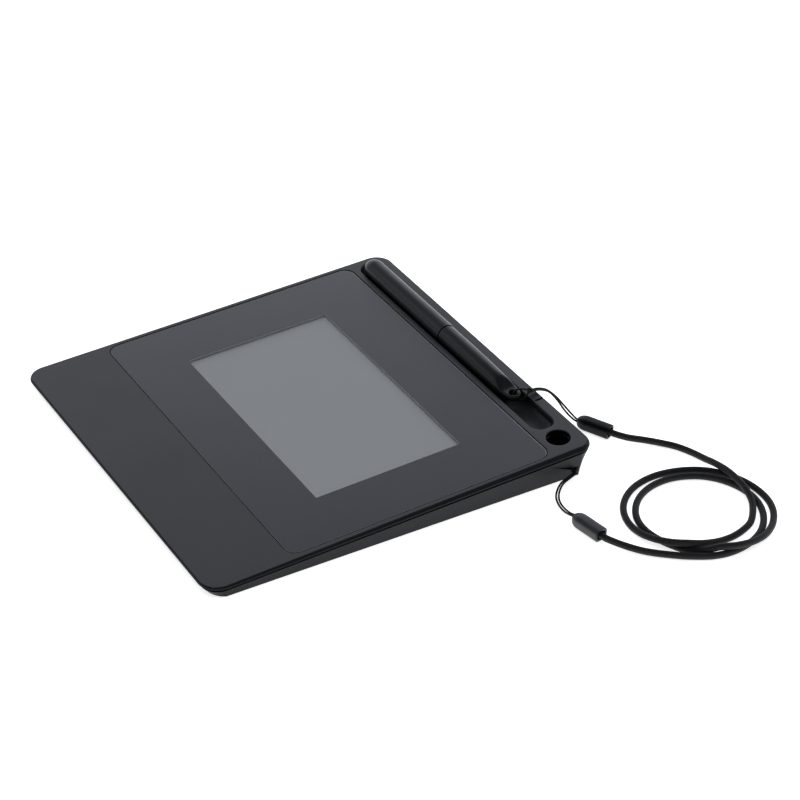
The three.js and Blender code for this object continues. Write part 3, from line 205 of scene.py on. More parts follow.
def fittingPlastic(name, dark, light, shine):
    # glass-filled nylon: satin, with short streaks from the mould
    return surface(name, {"IOR": 1.53, "Specular IOR Level": shine}, (0.9, dark, light),
                   (4, 0.36, 0.5), (0.35, 0.02, 0.3, 2), (1, 1, 3))


def maths(material, operation, *values):
    node = addNode(material, "ShaderNodeMath", {"operation": operation}, dict(enumerate(values)))
    return node.outputs[0]


def braid(name, dark, light, picks, turns, sheen):
    # woven polyester sleeve: crossing picks along the cord's own UV (u round it, v along it in
    # millimetres), drawn about twice as coarse as real so that it shows
    m, shader, _ = startMaterial(name, {
        "Roughness": 0.75, "IOR": 1.5, "Sheen Weight": sheen, "Sheen Roughness": 0.5})
    uv = addNode(m, "ShaderNodeUVMap", {"uv_map": "alongCord"})
    split = addNode(m, "ShaderNodeSeparateXYZ", None, {"Vector": uv.outputs[0]})
    along = maths(m, "MULTIPLY", split.outputs["Y"], 2 * math.pi / picks)
    waves = []
    for way in (1, -1):
        across = maths(m, "MULTIPLY", split.outputs["X"], 2 * math.pi * turns * way)
        waves.append(maths(m, "SINE", maths(m, "ADD", along, across)))
    lifted = addNode(m, "ShaderNodeMapRange", None, {
        "Value": maths(m, "MULTIPLY", *waves), "From Min": -1, "From Max": 1,
        "To Min": 0, "To Max": 1})
    # the colour follows the weave's height: painted shade in the dips between picks and a painted
    # highlight on their crowns
    link(m, tinted(m, lifted.outputs["Result"], dark, light), shader.inputs["Base Color"])
    bumped(m, shader, lifted.outputs["Result"], 0.08, 0.5)
    return m


def metal(name, dark, light, roughLow, roughHigh):
    # bare or coated metal, with lines 0.3 mm wide drawn along it
    return surface(name, {"Metallic": 1.0}, (0.3, dark, light), (0.3, roughLow, roughHigh),
                   stretch=(0.08, 1, 1))


def solderMask():
    # epoxy board under green solder mask, with faint copper runs below it
    m, shader, place = startMaterial("solderMaskGreen", {"IOR": 1.5, "Roughness": 0.35})
    runs = addNode(m, "ShaderNodeTexBrick", {"offset": 0.5}, {
        "Vector": place, "Scale": 1000 / 4, "Color1": linear("#1a4a30"), "Color2": linear("#1d5236"),
        "Mortar": linear("#2c6b45"), "Mortar Size": 0.06})
    link(m, runs.outputs["Color"], shader.inputs["Base Color"])
    return m


def plainMoulding(name, dark, light, rough, size=1.0):
    # small plain surfaces: resin, film, foam, and the glass's bevel, whose light grey is a painted
    # highlight; each with its own mottling
    return surface(name, {"IOR": 1.5}, (size, dark, light), (size * 4, rough - 0.06, rough + 0.06))


finishes = {
    "case": mouldedAbs("mouldedAbsCharcoal", "#17181c", "#1b1c20", 0.66),
    # a darker, duller copy of the same ABS: on the top cover's lip band it is painted shade; on the
    # bottom cover it is partly the lower moulding's own tone and partly painted shade
    "tub": mouldedAbs("mouldedAbsShadow", "#0f1116", "#13151a", 0.15),
    # a darker copy of the same ABS for the trough: its darkness is painted shade in the recess, its
    # gloss the finish's own
    "trough": mouldedAbs("mouldedAbsTrough", "#0a0a0b", "#0e0e10", 0.35),
    # chemically etched cover glass over the display: a thin haze that softens what lies behind it
    "glass": surface("etchedCoverGlass", {"Base Color": linear("#3a3d44"), "IOR": 1.5, "Alpha": 0.2},
                     rough=(60, 0.28, 0.34)),
    # the same etched glass with dark ink printed on its back: the etched skin lies over the ink
    "ink": surface("backPrintedCoverGlass", {
        "IOR": 1.5, "Roughness": 0.5, "Specular IOR Level": 0.1, "Coat Weight": 1.0, "Coat IOR": 1.5,
        "Coat Roughness": 0.25}, (40, "#1f2229", "#22252c", 1.0)),
    # a light grey for the glass's polished bevel: a painted highlight
    "bevelHighlight": plainMoulding("groundGlassEdge", "#6b6f77", "#747880", 0.5, 0.4),
    "panel": sleepingPanel(),
    # polycarbonate with a soft satin skin: near black, a broad sheen and a clear rim light
    "pen": surface("satinPolycarbonate", {
        "IOR": 1.5, "Specular IOR Level": 0.32, "Coat Weight": 0.06, "Coat Roughness": 0.2},
        (1.0, "#0c0d0f", "#101113"), (14, 0.3, 0.36), (0.3, 0.01, 0.25, 2)),
    # ABS against a polished tool: glossy and near black; on the stand hole's walls in the top cover
    # the near black is painted shade, and the cup below is given the same colour
    "stand": surface("polishedAbsBlack", {"IOR": 1.52}, (3, "#08080a", "#0c0c0e"), (8, 0.16, 0.24)),
    "fitting": fittingPlastic("filledNylonGrey", "#1b1c20", "#202126", 0.5),
    # the pen's fitting: a darker, duller copy of the same nylon, painted shade
    "shadedFitting": fittingPlastic("filledNylonBlack", "#060607", "#09090b", 0.15),
    "cord": braid("braidedPolyesterCord", "#070708", "#101012", 1.3, 8, 0.05),
    "string": braid("twistedPolyesterString", "#040405", "#0a0a0b", 0.8, 3, 0.02),
    # moulded nitrile rubber: matt black with a dusty bloom
    "rubber": surface("nitrileRubber", {"IOR": 1.52, "Roughness": 0.85}, (1.5, "#161617", "#202021"),
                      grain=(0.5, 0.04, 0.4, 3)),
    "steel": metal("nickelPlatedSteel", "#9a9c9e", "#b9bbbd", 0.25, 0.4),
    "blackSteel": metal("blackOxideSteel", "#222325", "#303134", 0.35, 0.5),
    "gold": metal("goldPlatedContact", "#b98a3a", "#d0a552", 0.2, 0.3),
    "board": solderMask(),
    "resin": plainMoulding("mouldedEpoxyResin", "#151517", "#1d1d20", 0.6),
    "film": plainMoulding("polyimideFilm", "#8a5418", "#a0641f", 0.4, 2.0),
    "foam": plainMoulding("acrylicFoamTape", "#101011", "#19191a", 0.9, 0.5),
    "nib": plainMoulding("hardAcetal", "#1e1e20", "#2a2a2c", 0.45, 0.6),
    "ferrite": plainMoulding("sinteredFerrite", "#2b2826", "#38342f", 0.7, 0.4),
    "silicone": plainMoulding("softSilicone", "#2a2a2b", "#343436", 0.7, 0.8),
}
print("materials made:", len(finishes))


# Mesh helpers
class Shell:
    # the points and faces of one piece, in millimetres, grown ring by ring
    def __init__(self):
        self.points, self.faces = [], []

    def ring(self, points):
        start = len(self.points)
        self.points += [Vector(p) for p in points]
        return list(range(start, len(self.points)))

    def band(self, one, other):
        for i in range(len(one)):
            j = (i + 1) % len(one)
            self.faces.append((one[i], one[j], other[j], other[i]))

    def rings(self, profiles):
        made = [self.ring(points) for points in profiles]
        for one, other in zip(made, made[1:]):
            self.band(one, other)
        return made

    def fan(self, ring, tip):
        centre = self.ring([tip])[0]
        self.faces += [(ring[i], ring[(i + 1) % len(ring)], centre) for i in range(len(ring))]

    def solid(self, profiles, start, end):
        # rings with a fan round a tip at each end
        made = self.rings(profiles)
        self.fan(made[0], start)
        self.fan(made[-1], end)
        return self

    def fill(self, *loops):
        # a flat face bounded by the loops, the inner ones being its holes
        back = [i for loop in loops for i in loop]
        flat = [self.points[i].xy for i in back]
        edges, start = [], 0
        for loop in loops:
            count = len(loop)
            edges += [(start + k, start + (k + 1) % count) for k in range(count)]
            start += count
        _, _, triangles, origins, _, _ = delaunay_2d_cdt(flat, edges, [], 0, 1e-6)
        for triangle in triangles:
            corners = [origins[k][0] for k in triangle]
            middle = sum((flat[k] for k in corners), Vector((0, 0))) / 3
            crossed = [middle.x < (q.x - p.x) * (middle.y - p.y) / (q.y - p.y) + p.x
                       for p, q in ((flat[a], flat[b]) for a, b in edges)
                       if (p.y > middle.y) != (q.y > middle.y)]
            if sum(crossed) % 2:
                self.faces.append([back[k] for k in corners])


def roundedRing(width, depth, corner, height, inset=0, middle=(0, 0), steps=10):
    # corner is one radius, or one each from the front right round to the front left; height is a
    # number or a function of y, inset a number or a function of y and the way out
    points = []
    radii = corner if isinstance(corner, tuple) else (corner,) * 4
    for number, (sideX, sideY) in enumerate(((1, -1), (1, 1), (-1, 1), (-1, -1))):
        radius = radii[number]
        for step in range(steps + 1):
            angle = (number - 1 + step / steps) * math.pi / 2
            out = Vector((math.cos(angle), math.sin(angle)))
            x = middle[0] + sideX * (width / 2 - radius) + radius * out.x
            y = middle[1] + sideY * (depth / 2 - radius) + radius * out.y
            amount = inset(y, out) if callable(inset) else inset
            x -= out.x * amount
            y -= out.y * amount
            points.append((x, y, height(y) if callable(height) else height))
    return points


def slotRing(left, right, middleY, half, height, steps=20):
    # a slot with round ends along X
    points = []
    for middleX, start in ((right, -0.5), (left, 0.5)):
        for step in range(steps + 1):
            angle = (start + step / steps) * math.pi
            points.append((middleX + half * math.cos(angle), middleY + half * math.sin(angle),
                           height))
    return points


def circleRing(x, y, radius, height, steps=48):
    turn = 2 * math.pi / steps
    return [(x + radius * math.cos(k * turn), y + radius * math.sin(k * turn), height)
            for k in range(steps)]


def newObject(name, mesh, finish):
    made = bpy.data.objects.new(name, mesh)
    scene.collection.objects.link(made)
    if finish:
        mesh.materials.append(finishes[finish])
    return made


def paint(piece, *names):
    # these finishes and no others, in this order
    piece.data.materials.clear()
    for name in names:
        piece.data.materials.append(finishes[name])


def smoothed(piece, angle=32):
    piece.data.shade_smooth()
    piece.data.set_sharp_from_angle(angle=math.radians(angle))
    even = piece.modifiers.new("evenFlats", "WEIGHTED_NORMAL")
    even.keep_sharp = True
    even.weight = 100
    return piece


def fromShell(name, shell, finish=None, place=caseToTable, angle=32):
    mesh = bpy.data.meshes.new(name)
    mesh.from_pydata([place @ p * 0.001 for p in shell.points], [], [tuple(f) for f in shell.faces])
    work = bmesh.new()
    work.from_mesh(mesh)
    bmesh.ops.remove_doubles(work, verts=work.verts, dist=1e-6)
    bmesh.ops.dissolve_degenerate(work, edges=work.edges, dist=1e-7)
    bmesh.ops.recalc_face_normals(work, faces=work.faces)
    work.to_mesh(mesh)
    work.free()
    return smoothed(newObject(name, mesh, finish), angle)


def settle(piece):
    # what the piece's modifiers make of it becomes its own plain mesh
    bpy.context.view_layer.update()
    depsgraph = bpy.context.evaluated_depsgraph_get()
    done = bpy.data.meshes.new_from_object(piece.evaluated_get(depsgraph))
    piece.modifiers.clear()
    old, piece.data = piece.data, done
    done.name = piece.name
    bpy.data.meshes.remove(old)


def carve(piece, cutters, operation="DIFFERENCE"):
    # joins or cuts with solids, which are then thrown away
    for cutter in cutters:
        cutter.modifiers.clear()
        piece.modifiers.clear()
        step = piece.modifiers.new("carve", "BOOLEAN")
        step.operation = operation
        step.solver = "MANIFOLD"
        step.object = cutter
        settle(piece)
        bpy.data.objects.remove(cutter)
    return smoothed(piece)


def boxShell(left, right, front, back, bottom, top, corner):
    middle = ((left + right) / 2, (front + back) / 2)
    rings = [roundedRing(right - left, back - front, corner, z, 0, middle, 4) for z in (bottom, top)]
    return Shell().solid(rings, (*middle, bottom), (*middle, top))


def turnedShell(profile, steps):
    # a body turned about the X axis, from (place along X, radius); ends on the axis close it
    shell = Shell()
    turn = 2 * math.pi / steps
    rings = [shell.ring([(along, radius * math.cos(k * turn), radius * math.sin(k * turn))
                         for k in range(steps if radius else 1)]) for along, radius in profile]
    for one, other in zip(rings, rings[1:]):
        if len(one) == len(other):
            shell.band(one, other)
        else:
            tip, ring = (one[0], other) if len(one) == 1 else (other[0], one)
            shell.faces += [(ring[i], ring[(i + 1) % steps], tip) for i in range(steps)]
    return shell


def arc(centreAlong, centreOut, radius, start, end, steps):
    # points (along, out) on an arc, in degrees
    turns = [math.radians(start + (end - start) * k / steps) for k in range(steps + 1)]
    return [(centreAlong + radius * math.cos(t), centreOut + radius * math.sin(t)) for t in turns]


def quarter(steps):
    # the angles of a quarter turn
    return [k / steps * math.pi / 2 for k in range(steps + 1)]


# Cords
def smoothRoute(points, step):
    # a centripetal Catmull-Rom curve through the points, cut at an even step
    hull = [points[0] * 2 - points[1]] + points + [points[-1] * 2 - points[-2]]
    fine, cuts = [], 24
    for i in range(1, len(hull) - 2):
        p, t = hull[i - 1:i + 3], [0]
        for one, other in zip(p, p[1:]):
            t.append(t[-1] + max((other - one).length, 1e-9) ** 0.5)
        for k in range(cuts):
            at = t[1] + (t[2] - t[1]) * k / cuts
            a = [p[n].lerp(p[n + 1], (at - t[n]) / (t[n + 1] - t[n])) for n in range(3)]
            b = [a[n].lerp(a[n + 1], (at - t[n]) / (t[n + 2] - t[n])) for n in range(2)]
            fine.append(b[0].lerp(b[1], (at - t[1]) / (t[2] - t[1])))
    fine.append(points[-1].copy())
    lengths = [0]
    for one, other in zip(fine, fine[1:]):
        lengths.append(lengths[-1] + (other - one).length)
    count = max(2, round(lengths[-1] / step))
    even, k = [], 0
    for number in range(count + 1):
        want = lengths[-1] * number / count
        while k < len(lengths) - 2 and lengths[k + 1] < want:
            k += 1
        share = (want - lengths[k]) / max(lengths[k + 1] - lengths[k], 1e-12)
        even.append(fine[k].lerp(fine[k + 1], share))
    return even, lengths[-1]


def sweep(name, route, radius, finish, sides):
    # a closed round tube along the route, with UVs: u round it, v along it in millimetres
    verts, faces, stations = [], [], [0]
    side = (route[1] - route[0]).normalized().orthogonal().normalized()
    for i, point in enumerate(route):
        way = (route[min(i + 1, len(route) - 1)] - route[max(i - 1, 0)]).normalized()
        side = (side - way * side.dot(way)).normalized()
        up = way.cross(side)
        for k in range(sides):
            angle = 2 * math.pi * k / sides
            verts.append(point + (side * math.cos(angle) + up * math.sin(angle)) * radius)
        if i:
            stations.append(stations[-1] + (point - route[i - 1]).length)
    nextSide = [(k + 1) % sides for k in range(sides)]
    last = (len(route) - 1) * sides
    for row in range(0, last, sides):
        for k, j in enumerate(nextSide):
            faces.append((row + k, row + j, row + sides + j, row + sides + k))
    start, end = len(verts), len(verts) + 1
    verts += [route[0], route[-1]]
    for k, j in enumerate(nextSide):
        faces += [(j, k, start), (last + k, last + j, end)]
    mesh = bpy.data.meshes.new(name)
    mesh.from_pydata(verts, [], faces)
    uvs = mesh.uv_layers.new(name="alongCord")
    for polygon in mesh.polygons:
        quad = len(polygon.vertices) == 4
        for corner, loop in enumerate(polygon.loop_indices):
            vertex = mesh.loops[loop].vertex_index
            row, k = divmod(vertex, sides)
            u = 1.0 if quad and k == 0 and corner in (1, 2) else k / sides
            uvs.data[loop].uv = (0.5, 0) if vertex >= start else (u, stations[row] * 1000)
    mesh.shade_smooth()
    mesh.set_sharp_from_angle(angle=math.radians(50))
    return newObject(name, mesh, finish)


tether = {
    "radius": 1.37, "inFitting": 1.1, "step": 0.8,
    # its centreline from the pen's fitting to the base's, measured in the photograph
    "course": [
        (71.5, 109.2, 2.6), (75.5, 114.5, 2.1), (79.8, 119.6, 1.6), (84.8, 123.8, 1.5),
        (90.7, 126.7, 1.5), (97.1, 128.1, 2.1), (103.6, 128.6, 3.5), (110.4, 128.9, 4.5),
        (117.3, 128.9, 4.5), (124, 128.3, 3.9), (130.2, 126.6, 2.6), (138.6, 119.8, 1.5),
        (141.6, 114, 1.5), (143.2, 107.5, 1.5), (143.5, 100.8, 1.9), (143, 94.2, 3),
        (141.3, 87.9, 4.2), (137.6, 82.5, 4.1), (132.2, 79, 3.2), (126, 77.2, 2.1),
        (119.5, 77, 1.5), (113.2, 78.4, 1.5), (107.5, 81.6, 1.5), (102.9, 86.2, 1.5),
        (99.5, 91.8, 1.5), (97.5, 98.1, 1.5), (96.9, 104.6, 1.5), (97.7, 111.2, 1.5),
        (99.7, 117.5, 1.5), (102.9, 123.2, 1.5), (107.4, 128, 1.5), (112.9, 131.6, 1.5),
        (119.1, 133.8, 1.5), (125.6, 134.5, 1.5), (132, 133.7, 1.5), (138, 131.1, 1.5),
        (143.1, 127, 1.5), (147.2, 121.9, 2.1), (150.3, 116.2, 3.1), (151.8, 109.8, 3.9),
        (151.3, 103.3, 4.3), (148.6, 97.1, 3.9), (145.4, 91.6, 2.2), (141.1, 86.7, 1.4),
        (135.5, 83.1, 1.5), (129.3, 80.9, 1.5), (122.8, 80.3, 1.5), (116.5, 81.7, 1.5),
        (110.9, 85, 1.5), (106.3, 89.7, 1.5), (103.1, 95.4, 1.5), (101.4, 101.8, 1.5),
        (101.3, 108.3, 1.5), (102.9, 114.7, 1.5), (106, 120.5, 1.5), (110.6, 125.1, 1.5),
        (116.3, 128.3, 1.5), (122.7, 129.9, 1.5), (129.4, 129.7, 1.5), (135.6, 127.6, 1.5),
        (141.1, 123.9, 1.5), (145.6, 119, 1.5), (148.7, 113.1, 1.5), (150.4, 106.7, 1.5),
        (150.7, 100.1, 1.5), (149.3, 93.5, 1.5), (146.3, 87.4, 1.5), (142.6, 81.7, 1.5),
        (133.8, 71.2, 1.8),
    ],
    "rise": 31, "riseTurn": -10,     # with the pen lifted, the cord rises over this stretch
}
fitting = {
    "length": 15.2, "width": 6, "height": 5.2, "lift": 0.3,
    "penTip": (51.8, 97.9), "penTurn": 27, "baseTip": (105, 59.9), "baseTurn": 10,
    "nose": 4.4, "recess": 1.3, "boxiness": 3.4,
}


def fittingPlace(tip, turn):
    start = Vector((*tip, fitting["lift"] + fitting["height"] / 2))
    way = Vector((math.cos(math.radians(turn)), math.sin(math.radians(turn)), 0))
    return start, way, start + way * fitting["length"]


penTip, penWay, penFace = fittingPlace(fitting["penTip"], fitting["penTurn"])
baseTip, baseWay, baseFace = fittingPlace(fitting["baseTip"], fitting["baseTurn"])
straight = 2 * tether["radius"]
route = [penFace - penWay * tether["inFitting"], penFace + penWay * straight]
route += [Vector(p) for p in tether["course"]]
route += [baseFace + baseWay * straight, baseFace - baseWay * tether["inFitting"]]
tetherRoute, tetherLength = smoothRoute([p * 0.001 for p in route], tether["step"] * 0.001)
tetherRoute = tetherRoute[::-1]
tetherCord = sweep("tether_cord", tetherRoute, tether["radius"] * 0.001, "cord", 24)
print(f"tether: {tetherLength * 1000:.0f} mm in {len(tetherRoute)} steps")

# both strings start and end inside their fitting; "over" is on the case, the rest on the table
loops = {
    "radius": 0.4, "into": 1.0, "step": 0.35, "pinTurn": 1.3, "knotSize": 0.95, "knotRadius": 0.42,
    "pen": {
        "start": (51.4, 98.2, 2.9), "end": (51.9, 97, 2.9),
        "out": [(48.7, 96.9, 4.6), (45.5, 95.3, 7.2), (42.5, 92.9, 10.7), (40.2, 89.6, 13.6)],
        "over": [
            (39.9, 85.6, 0.85), (39.9, 83.0, 1.3), (39.9, 80.8, 2.1), (39.4, 78.6, 2.9),
            (38.8, 76.4, 3.0), (38.4, 75.3, 1.6), (38.4, 75.2, -0.6), (39.0, 76.2, -1.9),
            (40.4, 77.6, -1.6), (41.5, 78.8, 0.0), (41.5, 80.4, 1.6), (41.1, 82.6, 1.5),
            (41.2, 85.8, 0.85)],
        "back": [(41.8, 90, 13.2), (44.4, 92.5, 10.1), (47.1, 94.2, 6.6), (49.7, 95.7, 4.2)],
    },
    "base": {
        "start": (104.7, 59.7, 2.9), "end": (104.7, 60.9, 2.9),
        "out": [(100.8, 59.7, 1.7), (96.8, 60.1, 1), (92.6, 61.1, 0.8), (88.9, 62.8, 0.9),
                (85.8, 65.6, 1.3), (84.5, 68, 2.6)],
        "over": [(82.4, 75.0, -9.8), (80.9, 75.7, -9.8), "pin",
                 (80.9, 77.1, -9.8), (82.8, 75.8, -10.1)],
        "back": [(85.4, 68.3, 2.6), (86.6, 66.2, 1.3), (89.4, 63.8, 0.9), (92.9, 62.1, 0.8),
                 (97, 61.3, 1), (100.9, 60.9, 1.7)],
    },
}
# the base loop's turn round the pin in the tether slot, in the case's frame
tetherPin = (78.8, 76.8, -9.8)
aroundPin = []
for k in range(7):
    angle = -(0.4 + 1.2 * k / 6) * math.pi
    aroundPin.append((tetherPin[0] + loops["pinTurn"] * math.cos(angle),
                      tetherPin[1] + loops["pinTurn"] * math.sin(angle), tetherPin[2]))
overPin = loops["base"]["over"]
overPin[overPin.index("pin"):overPin.index("pin") + 1] = aroundPin


def stringLoop(name, loop, way):
    points = onTable([loop["start"]] + loop["out"]) + onCase(loop["over"])
    points += onTable(loop["back"] + [loop["end"]])
    into = way * loops["into"] * 0.001
    made, length = smoothRoute([points[0] + into] + points + [points[-1] + into],
                               loops["step"] * 0.001)
    return sweep(name, made, loops["radius"] * 0.001, "string", 12), made, length


penLoop, penLoopRoute, penLoopLength = stringLoop("pen_string", loops["pen"], penWay)
baseLoop, baseLoopRoute, baseLoopLength = stringLoop("base_string", loops["base"], baseWay)
print(f"strings: {penLoopLength * 1000:.0f} mm and {baseLoopLength * 1000:.0f} mm")


def knotAt(name, middle, turn, steps=60):
    # a small overhand knot: a trefoil of string pulled tight
    spin = Matrix.Rotation(turn, 3, "X")
    points = []
    for k in range(steps):
        t = 2 * math.pi * k / steps
        points.append(onCase([middle])[0] + spin @ Vector((
            math.sin(t) + 2 * math.sin(2 * t), math.cos(t) - 2 * math.cos(2 * t),
            -1.1 * math.sin(3 * t))) * (loops["knotSize"] * 0.001) / 3)
    points.append(points[0].copy())
    return sweep(name, points, loops["knotRadius"] * 0.001, "string", 10)


penKnot = knotAt("pen_knot", (40.6, 81.6, 1.8), 0.5)
baseKnot = knotAt("base_knot", (82.7, 75.2, -10.0), 1.2)


def fittingPiece(name, tip, way, finish):
    # a crimped end: round nose, soft boxy body, square tail with a recess where the cord comes out
    length, nose = fitting["length"], fitting["nose"]
    stations = [(nose * (1 - math.cos(t)), math.sin(t), 0) for t in quarter(12)[1:]]
    stations += [(length - 0.3, 1, 0), (length - 0.1, 0.985, 0), (length, 0.95, 0),
                 (length, 0.8, 0.4), (length - 0.1, 0.74, 0.7),
                 (length - fitting["recess"], 0.7, 1)]
    across = Vector((-way.y, way.x, 0))
    rings = []
    for along, wide, roundness in stations:
        power = fitting["boxiness"] * (1 - roundness) + 2 * roundness
        high = fitting["height"] / 2 * (wide if along > nose else wide ** 0.7)
        rings.append([])
        for k in range(48):
            c, s = math.cos(2 * math.pi * k / 48), math.sin(2 * math.pi * k / 48)
            boxy = 1 / (abs(c) ** power + abs(s) ** power) ** (1 / power)
            rings[-1].append(tip + way * along + across * (c * boxy * fitting["width"] / 2 * wide)
                             + Vector((0, 0, s * boxy * high)))
    shell = Shell().solid(rings, tip, tip + way * (length - fitting["recess"]))
    return fromShell(name, shell, finish, tablePlace, 40)


# the pen's fitting is drawn in the painted-shade copy of the nylon
penFitting = fittingPiece("pen_fitting", penTip, penWay, "shadedFitting")
baseFitting = fittingPiece("base_fitting", baseTip, baseWay, "fitting")

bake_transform(tetherCord)
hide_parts("tether_cord_pen_side", "tether_coil", "tether_cord_base_side")
for piece, body, nodes, slot in (
        (penLoop, "pen", ["pen_loop"], "loop_string"),
        (penKnot, "pen", [], "loop_string"),
        (penFitting, "pen", ["pen_cord_end"], "cord_end_plastic"),
        (baseLoop, "pad", ["base_loop"], "loop_string"),
        (baseKnot, "pad", [], "loop_string"),
        (baseFitting, "pad", ["base_cord_end"], "cord_end_plastic")):
    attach(piece, body)
    if nodes:
        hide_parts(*nodes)
print("cords laid")

# Top cover: palm rest, pocket for the glass, pen trough, stand hole
cover = {
    "edgeFrom": -0.03, "edgeSteps": 9, "mouthRounding": 0.18, "lipRounding": 0.15,
    "recessDepth": 1.7, "recessBottom": 2.5, "floorBeyond": 0.5, "window": (117.6, 74.4),
    "troughMouth": 5.3, "troughBottom": -4.2, "troughWall": (0.45, -1.0), "troughMiddle": 0.25,
    "troughFillet": ((0.3, 0), (0.17, -0.03), (0.06, -0.11), (0, -0.25)), "tubWall": 1.0,
    "standBore": 4.95, "standFillet": 0.4,
    "notchX": 45.6, "notchFront": 80.9, "notchWidth": 1.1, "notchDepth": 0.7,
    "screwX": 73, "screwY": (-12, 58), "bossRadius": 2.3, "threadRadius": 1.2, "threadDepth": 2.2,
    "webAbove": 3.2,         # how far the screws' seats stand over the underside
}
screwAt = [(x, y) for y in cover["screwY"] for x in (-cover["screwX"], cover["screwX"])]


def fallAt(y, out):
    # the softened edge is narrow, but widens to the back along the right side
    share = max(out.x, 0) * (y + case["depth"] / 2) / case["depth"]
    back = (case["fall"] - case["fallBack"]) * max(out.y, -out.x, 0)
    return case["fall"] + (case["fallBackRight"] - case["fall"]) * share - back


def frontToBack(y, front, back):
    return front + (back - front) * min(max(y / case["depth"] + 0.5, 0), 1)


def lipAt(y):
    # the lip and the seam under it are thinner at the front than at the back
    return frontToBack(y, case["lipFront"], case["lip"])


def rimAt(y):
    return -lipAt(y) - frontToBack(y, case["seamGapFront"], case["seamGap"])


def plateRing(height, inset):
    back, front = case["backReach"], case["frontReach"]
    return roundedRing(case["width"], case["depth"] + back + front, case["corner"], height, inset,
                       (0, (back - front) / 2))


def rimRing(height, inset):
    return roundedRing(case["width"], case["depth"], case["tubCorner"], height, inset)


def glassRing(height, beyond):
    width, depth, corner = case["glass"]
    return roundedRing(width + 2 * beyond, depth + 2 * beyond, corner + beyond, height, 0,
                       (case["glassX"], case["glassY"]))


def troughCurve(half, top, bottom):
    # a quarter ellipse from the wall, at half the width, down to the middle
    curve = [(half * math.cos(angle), top + (bottom - top) * math.sin(angle))
             for angle in quarter(12)[1:-1]]
    return curve + [(cover["troughMiddle"], bottom)]


def makeTopCover():
    shell = Shell()
    lip, rounding = case["lip"], cover["lipRounding"]
    rings = [plateRing(lambda y: up - lipAt(y), inset)
             for up, inset in ((0, rounding), (rounding * 0.3, rounding * 0.3), (rounding, 0))]
    for angle in quarter(cover["edgeSteps"]):
        rings.append(plateRing(
            lambda y: -min(case["edgeDrop"], lipAt(y) - rounding - 0.05) * (1 - math.sin(angle)),
            lambda y, out: fallAt(y, out) * (1 - math.cos(angle))))
    outer = shell.rings(rings)
    # pocket, its floor with the display's window, and the floor's underside
    edge, gap = cover["mouthRounding"], case["glassGap"]
    floor, under = -cover["recessDepth"], -cover["recessBottom"]
    pocket = shell.rings(
        [glassRing(out - edge, gap + edge - along) for along, out in arc(0, 0, edge, 0, 90, 4)][::-1]
        + [glassRing(floor, gap)])
    window = shell.rings([roundedRing(*cover["window"], 0.5, z, 0, (0, case["displayY"]), 3)
                          for z in (floor, under)])
    shell.fill(pocket[-1], window[0])
    ledge = shell.rings([glassRing(z, gap + cover["floorBeyond"]) for z in (under, -lip)])
    # trough inside and outside
    mouth, troughY = cover["troughMouth"], case["troughY"]
    left, right = case["trough"]
    inward, down = cover["troughWall"]
    inside = [(mouth + along, out) for along, out in cover["troughFillet"]]
    inside += [(mouth - inward, down)] + troughCurve(mouth - inward, down, cover["troughBottom"])
    outside = [(mouth, -lip)] + troughCurve(mouth, -lip, cover["troughBottom"] - cover["tubWall"])
    halves = []
    for curve in (inside, outside):
        halves.append(shell.rings([slotRing(left + mouth, right - mouth, troughY, half, z)
                                   for half, z in curve]))
        shell.fill(halves[-1][-1])
    trough, belly = halves
    # stand hole
    standX, bore, soft = case["standX"], cover["standBore"], cover["standFillet"]
    stand = shell.rings(
        [circleRing(standX, troughY, bore + soft - along, out - soft)
         for along, out in arc(0, 0, soft, 90, 0, 6)] + [circleRing(standX, troughY, bore, -lip)])
    # screw bosses under the pocket's floor
    bossRings = []
    for x, y in screwAt:
        foot = undersideAt(y) + cover["webAbove"] + 0.25
        boss = shell.rings([circleRing(x, y, cover["bossRadius"], z, 24) for z in (under, foot)])
        thread = shell.rings([circleRing(x, y, cover["threadRadius"], z, 24)
                              for z in (foot, foot + cover["threadDepth"])])
        shell.fill(boss[-1], thread[0])
        shell.fill(thread[-1])
        bossRings.append(boss[0])
    shell.fill(ledge[0], window[-1], *bossRings)
    shell.fill(outer[0], ledge[-1], belly[0], stand[-1])
    shell.fill(outer[-1], pocket[0], trough[0], stand[0])
    notchX, notchHalf = cover["notchX"], cover["notchWidth"] / 2
    notch = boxShell(notchX - notchHalf, notchX + notchHalf, cover["notchFront"],
                     case["depth"] / 2 + 3, -cover["notchDepth"], 3, 0.1)
    piece = carve(fromShell("top_cover_shell", shell, "case"), [fromShell("notchTool", notch)])
    paint(piece, "case", "tub", "stand", "trough")
    for face in piece.data.polygons:
        x, y, z = metresToCase @ face.center
        # the trough's faces take a darker copy of the ABS: painted shade in the recess
        inTrough = left < x < right and abs(y - troughY) < mouth and z < -0.3
        # the stand hole's walls take the near-black polished finish: painted shade in the hole
        inHole = (x - standX) ** 2 + (y - troughY) ** 2 < (bore + 0.3) ** 2
        inset = min(case["width"] / 2 - abs(x), case["depth"] / 2 - abs(y))
        # the lip's band takes the darker, duller tub copy of the ABS: painted shade on the same
        # moulding
        onEdge = z < cover["edgeFrom"] and inset < case["fallBackRight"]
        face.material_index = 2 if inHole else 3 if inTrough else 1 if onEdge else 0
    return piece


topCover = makeTopCover()
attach(topCover, "pad")
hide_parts("top_cover")
print("top cover made")

